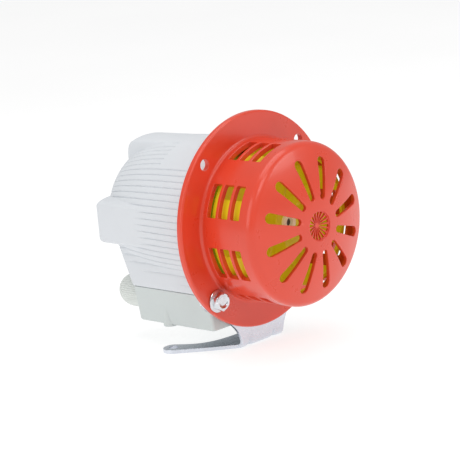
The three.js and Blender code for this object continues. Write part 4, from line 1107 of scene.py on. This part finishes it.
def add_vanes(shell):
    """Low radial vanes on the disc, with rounded front edges."""
    foot_y = ROTOR_BACK_Y - ROTOR_DISC / 2
    front = arc(0, VANE_FRONT_Y + VANE_HALF, VANE_HALF, 180, 360, 8)
    section = outline(front, [(VANE_HALF, foot_y), (-VANE_HALF, foot_y)])
    for i in range(ROTOR_SEGMENTS):
        angle = ROTOR_SEGMENT_START + 2 + i * TURN / ROTOR_SEGMENTS
        ends = []
        for reach in (HUB_RADIUS - 1, ROTOR_RADIUS - 2):
            across = np.stack([np.full(len(section), reach), section[:, 0]], 1)
            flat = turned(across, angle)
            ends.append(np.stack([flat[:, 0], section[:, 1], flat[:, 1]], 1))
        shell.grid(ends)
        for end in ends:
            shell.cap(end)


def round_piece(name, corners, slot, body, node, centre=(0, 0)):
    shell = Shell()
    revolved(shell, rounded_profile(corners), 96, centre, closed=True)
    finish_piece(shell.build(name), slot, body, node)


def bush_and_shaft():
    bush_end = ROTOR_BACK_Y - 1
    round_piece("cream_hub_bush", [
        (BUSH_BORE, BUSH_FRONT_Y, 0.4), (BUSH_RADIUS, BUSH_FRONT_Y, 0.6), (BUSH_RADIUS, bush_end, 0.3),
        (BUSH_BORE, bush_end, 0.3),
    ], "cream_plastic", "rotor", "hub_bush")
    tip = BUSH_FRONT_Y + 2.5
    round_piece("steel_motor_shaft", [
        (0, tip, 0), (SHAFT_TIP_RADIUS, tip, 0.5), (SHAFT_TIP_RADIUS, -2.6, 0.2),
        (SHAFT_RADIUS, -2.2, 0.3), (SHAFT_RADIUS, SHAFT_END_Y, 0.6), (0, SHAFT_END_Y, 0),
    ], "dark_steel", "rotor", "motor_shaft")


# ---- bracket ----
BEND_LENGTH = math.pi / 2 * (BEND_INNER + SHEET / 2)


def on_bracket(points, depth):
    """Places (x, distance along the sheet) points; the distance is 0 where the yoke meets the bend."""
    x, along = points[:, 0], points[:, 1]
    turn = np.clip(-along / BEND_LENGTH, 0, 1) * math.pi / 2
    dart = np.exp(-((np.abs(x) - DART_X) / 1.9) ** 2) * np.exp(-((along + BEND_LENGTH / 2) / 4.2) ** 2)
    reach = BEND_INNER + SHEET - depth - DART_DEPTH * dart
    y = BEND_Y - np.cos(turn) * reach + np.maximum(-along - BEND_LENGTH, 0)
    z = BEND_Z - np.sin(turn) * reach + np.maximum(along, 0)
    return np.stack([x, y, z], 1)


def foot_along(points):
    """Turns (x, y) points of the flat foot into (x, distance along the sheet)."""
    points = np.asarray(points, float)
    return np.stack([points[:, 0], -BEND_LENGTH - (points[:, 1] - BEND_Y)], 1)


def yoke_along(points):
    return points - [0, BEND_Z]


def bracket():
    clearance = BARREL_RADIUS + 1.7
    right_half = outline(
        foot_along(curved([(0, 32), (11, 32.4), (20.6, 34), (28, 36.8), (34.3, 41.2), (39.5, 47.5)])),
        foot_along(arc(*FOOT_TIP, FOOT_TIP_RADIUS, 140, -40, 18)),
        foot_along(curved([(46, 33.8), (38, 25.4), (31, 18.4), (25, 12.8), (NECK_HALF, BEND_Y)])),
        yoke_along(curved([
            (NECK_HALF, BEND_Z), (23.6, -85), (26.5, -79.5), (31.5, -74), (39, -68), (48, -61.5)])),
        yoke_along(arc(BOLT_X, -BOLT_X, EAR_RADIUS, -60, 135, 18)),
        yoke_along(arc(0, 0, clearance, -45, -90, 24)),
    )
    left_half = (right_half * [-1, 1])[-2:0:-1]
    loop = counter_clockwise(densified(outline(right_half, left_half), 2.5))
    gaps = np.linalg.norm(loop - np.roll(loop, 1, 0), axis=1)
    loop = loop[gaps > 0.05]
    holes = []
    for side in (-1, 1):
        holes.append(circle(HOLE_RADIUS, 40, (side * BOLT_X, -BOLT_X - BEND_Z)))
        holes.append(circle(FOOT_HOLE, 36, foot_along([(side * FOOT_TIP[0], FOOT_TIP[1])])[0]))
    shell = Shell()
    edged_plate(shell, loop, holes, SHEET, LIP, on_bracket, 1.6)
    finish_piece(shell.build("zinc_mounting_bracket"), "zinc_steel", "casing", "mounting_bracket")


# ---- bolts, nuts and screws ----
def finish_steel(shell, node):
    finish_piece(shell.build("steel_" + node, 30), "bolt_steel", "casing", node)


def hex_radius(angles, across_flats):
    """The radius of a hexagon whose corners are slightly rounded off."""
    fold = np.abs((angles + 30) % 60 - 30)
    flat = across_flats / 2 / np.cos(np.radians(fold))
    return np.minimum(flat, across_flats / math.sqrt(3) * 0.985)


def hex_rows(angles, base_y, top_y, centre, outward):
    """The side and the chamfered end of a hexagon that points along Y, forwards (-1) or back (1)."""
    radius = hex_radius(angles, ACROSS_FLATS)
    face = ACROSS_FLATS / 2 * 0.96
    chamfer = np.maximum(radius - face, 0) * math.tan(math.radians(28))
    return rings([
        (radius, base_y),
        (radius, top_y - outward * (chamfer + 0.12)),
        (radius - 0.14, top_y - outward * chamfer * 0.9),
        (face, top_y),
    ], angles, centre)


def flange_bolt(side, x):
    """Flanged hexagon bolt with a dished head."""
    shell = Shell()
    angles = around(144) + 2.5
    centre = (x, -BOLT_X)
    shank = [(0, 13.2), (3.2, 13.2), (3.9, 12.4), (3.9, -0.3)]
    washer = [(8.1, -0.3), (8.4, -0.6), (8.4, -1.1), (8.15, -1.45), (7.7, -1.7)]
    head = hex_rows(angles, -2.1, -6.6, centre, -1)
    dish = [(4.7, -6.6), (4.4, -6.5), (4.1, -6.1), (3.7, -5.85), (2.5, -5.75), (0, -5.75)]
    shell.grid([*rings(shank + washer, angles, centre), *head, *rings(dish, angles, centre)])
    finish_steel(shell, f"flange_bolt_{side}")


def flange_nut(side, x):
    shell = Shell()
    angles = around(144)
    centre = (x, -BOLT_X)
    front, back = HOUSING_FRONT_Y, HOUSING_FRONT_Y + NUT_HEIGHT
    rows = hex_rows(angles, front, back, centre, 1)
    bore = rings([(4.7, back), (4.2, back - 0.5), (4.2, front + 0.5), (4.7, front)], angles, centre)
    shell.grid([*rows, *bore, rows[0]])
    finish_steel(shell, f"flange_nut_{side}")


def housing_screw(side, angle):
    """Long cap screw; its socket head sits in the counterbore at the rear."""
    shell = Shell()
    angles = around(96)
    head_y = REAR_Y - SCREW_RECESS + 0.3
    top = head_y + 4
    socket = hex_radius(angles, 3)
    shell.grid(rings([
        (0, -0.8), (1.3, -0.8), (1.6, -0.4), (1.6, head_y), (3.6, head_y), (3.9, head_y + 0.3),
        (3.9, top - 0.5), (3.75, top - 0.15), (3.4, top), (2.1, top), (socket, top - 0.25),
        (socket, top - 2), (0, top - 2.4),
    ], angles, turned([SCREW_CIRCLE, 0], angle)))
    finish_steel(shell, f"housing_screw_{side}")


# ---- cable gland ----
def gland():
    """The gland's body in the box wall, and its ribbed dome nut."""
    centre = (GLAND_X, GLAND_Z)
    collar = GLAND_RADIUS + 0.6
    round_piece("gland_collar", [
        (6.6, 77, 0.3), (8.1, 77, 0.4), (8.1, 90.3, 0), (collar, 90.3, 0.3),
        (collar, 93.8, 0.6), (8.4, 93.8, 0), (8.4, 105.3, 0.4), (6.6, 105.3, 0.3),
    ], "gland_plastic", "casing", "gland_body", centre)
    angles = around(GLAND_RIBS * 6)
    flute = GLAND_FLUTE * (0.5 - 0.5 * np.cos(np.radians(angles * GLAND_RIBS))) ** 1.5
    bore = 8.8
    outer = GLAND_RADIUS - 0.3
    mouth = [(bore, GLAND_NUT_Y), (GLAND_RADIUS - 0.9, GLAND_NUT_Y), (outer, GLAND_NUT_Y + 0.25)]
    sphere_y = GLAND_END_Y - GLAND_RADIUS
    ribbed = [(GLAND_RADIUS - flute, y) for y in np.linspace(GLAND_NUT_Y + 1, sphere_y, 6)]
    reach = math.degrees(math.acos((GLAND_OUTLET + 0.8) / GLAND_RADIUS))
    dome = []
    for a in np.linspace(4, reach, 14):
        fade = 1 - (a / reach) ** 3
        height = math.sin(math.radians(a)) / math.sin(math.radians(reach))
        radius = GLAND_RADIUS * math.cos(math.radians(a))
        dome.append((radius - flute * fade, sphere_y + outer * height))
    lip = arc(GLAND_OUTLET + 0.8, GLAND_END_Y - 0.8, 0.8, 75, 180, 5)
    inside_end = GLAND_END_Y - 10
    throat = [(GLAND_OUTLET, inside_end), (bore, inside_end)]
    shell = Shell()
    shell.grid(rings([*mouth, *ribbed, *dome, *lip, *throat, mouth[0]], angles, centre))
    finish_piece(shell.build("ribbed_gland_nut", 34), "gland_plastic", "casing", "gland_nut")


front_housing()
rear_housing()
terminal_box()
rotor()
bush_and_shaft()
bracket()
for side_name, bolt_x in (("left", -BOLT_X), ("right", BOLT_X)):
    flange_bolt(side_name, bolt_x)
    flange_nut(side_name, bolt_x)
for side_name, screw_angle in SCREW_ANGLES.items():
    housing_screw(side_name, screw_angle)
gland()

# ---- materials of the CAD nodes ----
for subpart in frame["record"]["subparts"]:
    node = frame["nodes"][subpart["node"]]
    material = MATERIALS[subpart["material_slot"]]
    node.data.materials.clear()
    node.data.materials.append(COMMUTATOR_COPPER if subpart["node"] == "commutator" else material)


# ---- floor, light and world ----
FLOOR_HALF_SIZE = 6
FLOOR_GLOW = 0.72
WORLD_LIGHT = 0.5
LIGHT_TARGET = (0, 0, 0.09)
# Area lights: name, place and width in metres, power in watts.
LIGHTS = (
    ("key_right", (0.75, -1.5, 1.1), 0.9, 7),
    ("top", (0, 0.1, 1.5), 1.2, 7.5),
    ("front_high", (-0.75, -1.1, 1.5), 0.8, 5),
    ("left_fill", (-1.5, 0.3, 0.7), 1, 5),
)


def make_floor():
    mesh = bpy.data.meshes.new("floor")
    size = FLOOR_HALF_SIZE
    corners = [(-size, -size, 0), (size, -size, 0), (size, size, 0), (-size, size, 0)]
    mesh.from_pydata(corners, [], [(0, 1, 2, 3)])
    look = Look("floor_paper", Roughness=0.9, Specular_IOR_Level=0.1,
                Emission_Color=(1, 1, 1, 1), Emission_Strength=FLOOR_GLOW)
    look.set("Base Color", look.ramp(look.noise(3, 2), (0.3, (0.38, 0.38, 0.38)), (0.7, (0.4, 0.4, 0.4))))
    mesh.materials.append(look.material)
    new_object("floor", mesh)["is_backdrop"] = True


def area_light(name, place, width, power):
    data = bpy.data.lights.new(name, "AREA")
    data.size = width
    data.energy = power
    light = new_object(name, data)
    light.location = place
    light.rotation_euler = (Vector(LIGHT_TARGET) - Vector(place)).to_track_quat("-Z", "Y").to_euler()


def make_world():
    """White to the camera, and a weaker light to the object."""
    world = bpy.data.worlds.new("studio")
    world.use_nodes = True
    tree = world.node_tree
    background = tree.nodes["Background"]
    background.inputs["Color"].default_value = (1, 1, 1, 1)
    path = tree.nodes.new("ShaderNodeLightPath")
    strength = tree.nodes.new("ShaderNodeMapRange")
    strength.inputs["To Min"].default_value = WORLD_LIGHT
    tree.links.new(path.outputs["Is Camera Ray"], strength.inputs["Value"])
    tree.links.new(strength.outputs["Result"], background.inputs["Strength"])
    bpy.context.scene.world = world
    bpy.context.scene.view_settings.view_transform = "Standard"


make_floor()
for light in LIGHTS:
    area_light(*light)
make_world()

boxes = {"cad": cad_bounds, "visual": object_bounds()}
{name: [list(corner) for corner in box] for name, box in boxes.items()}
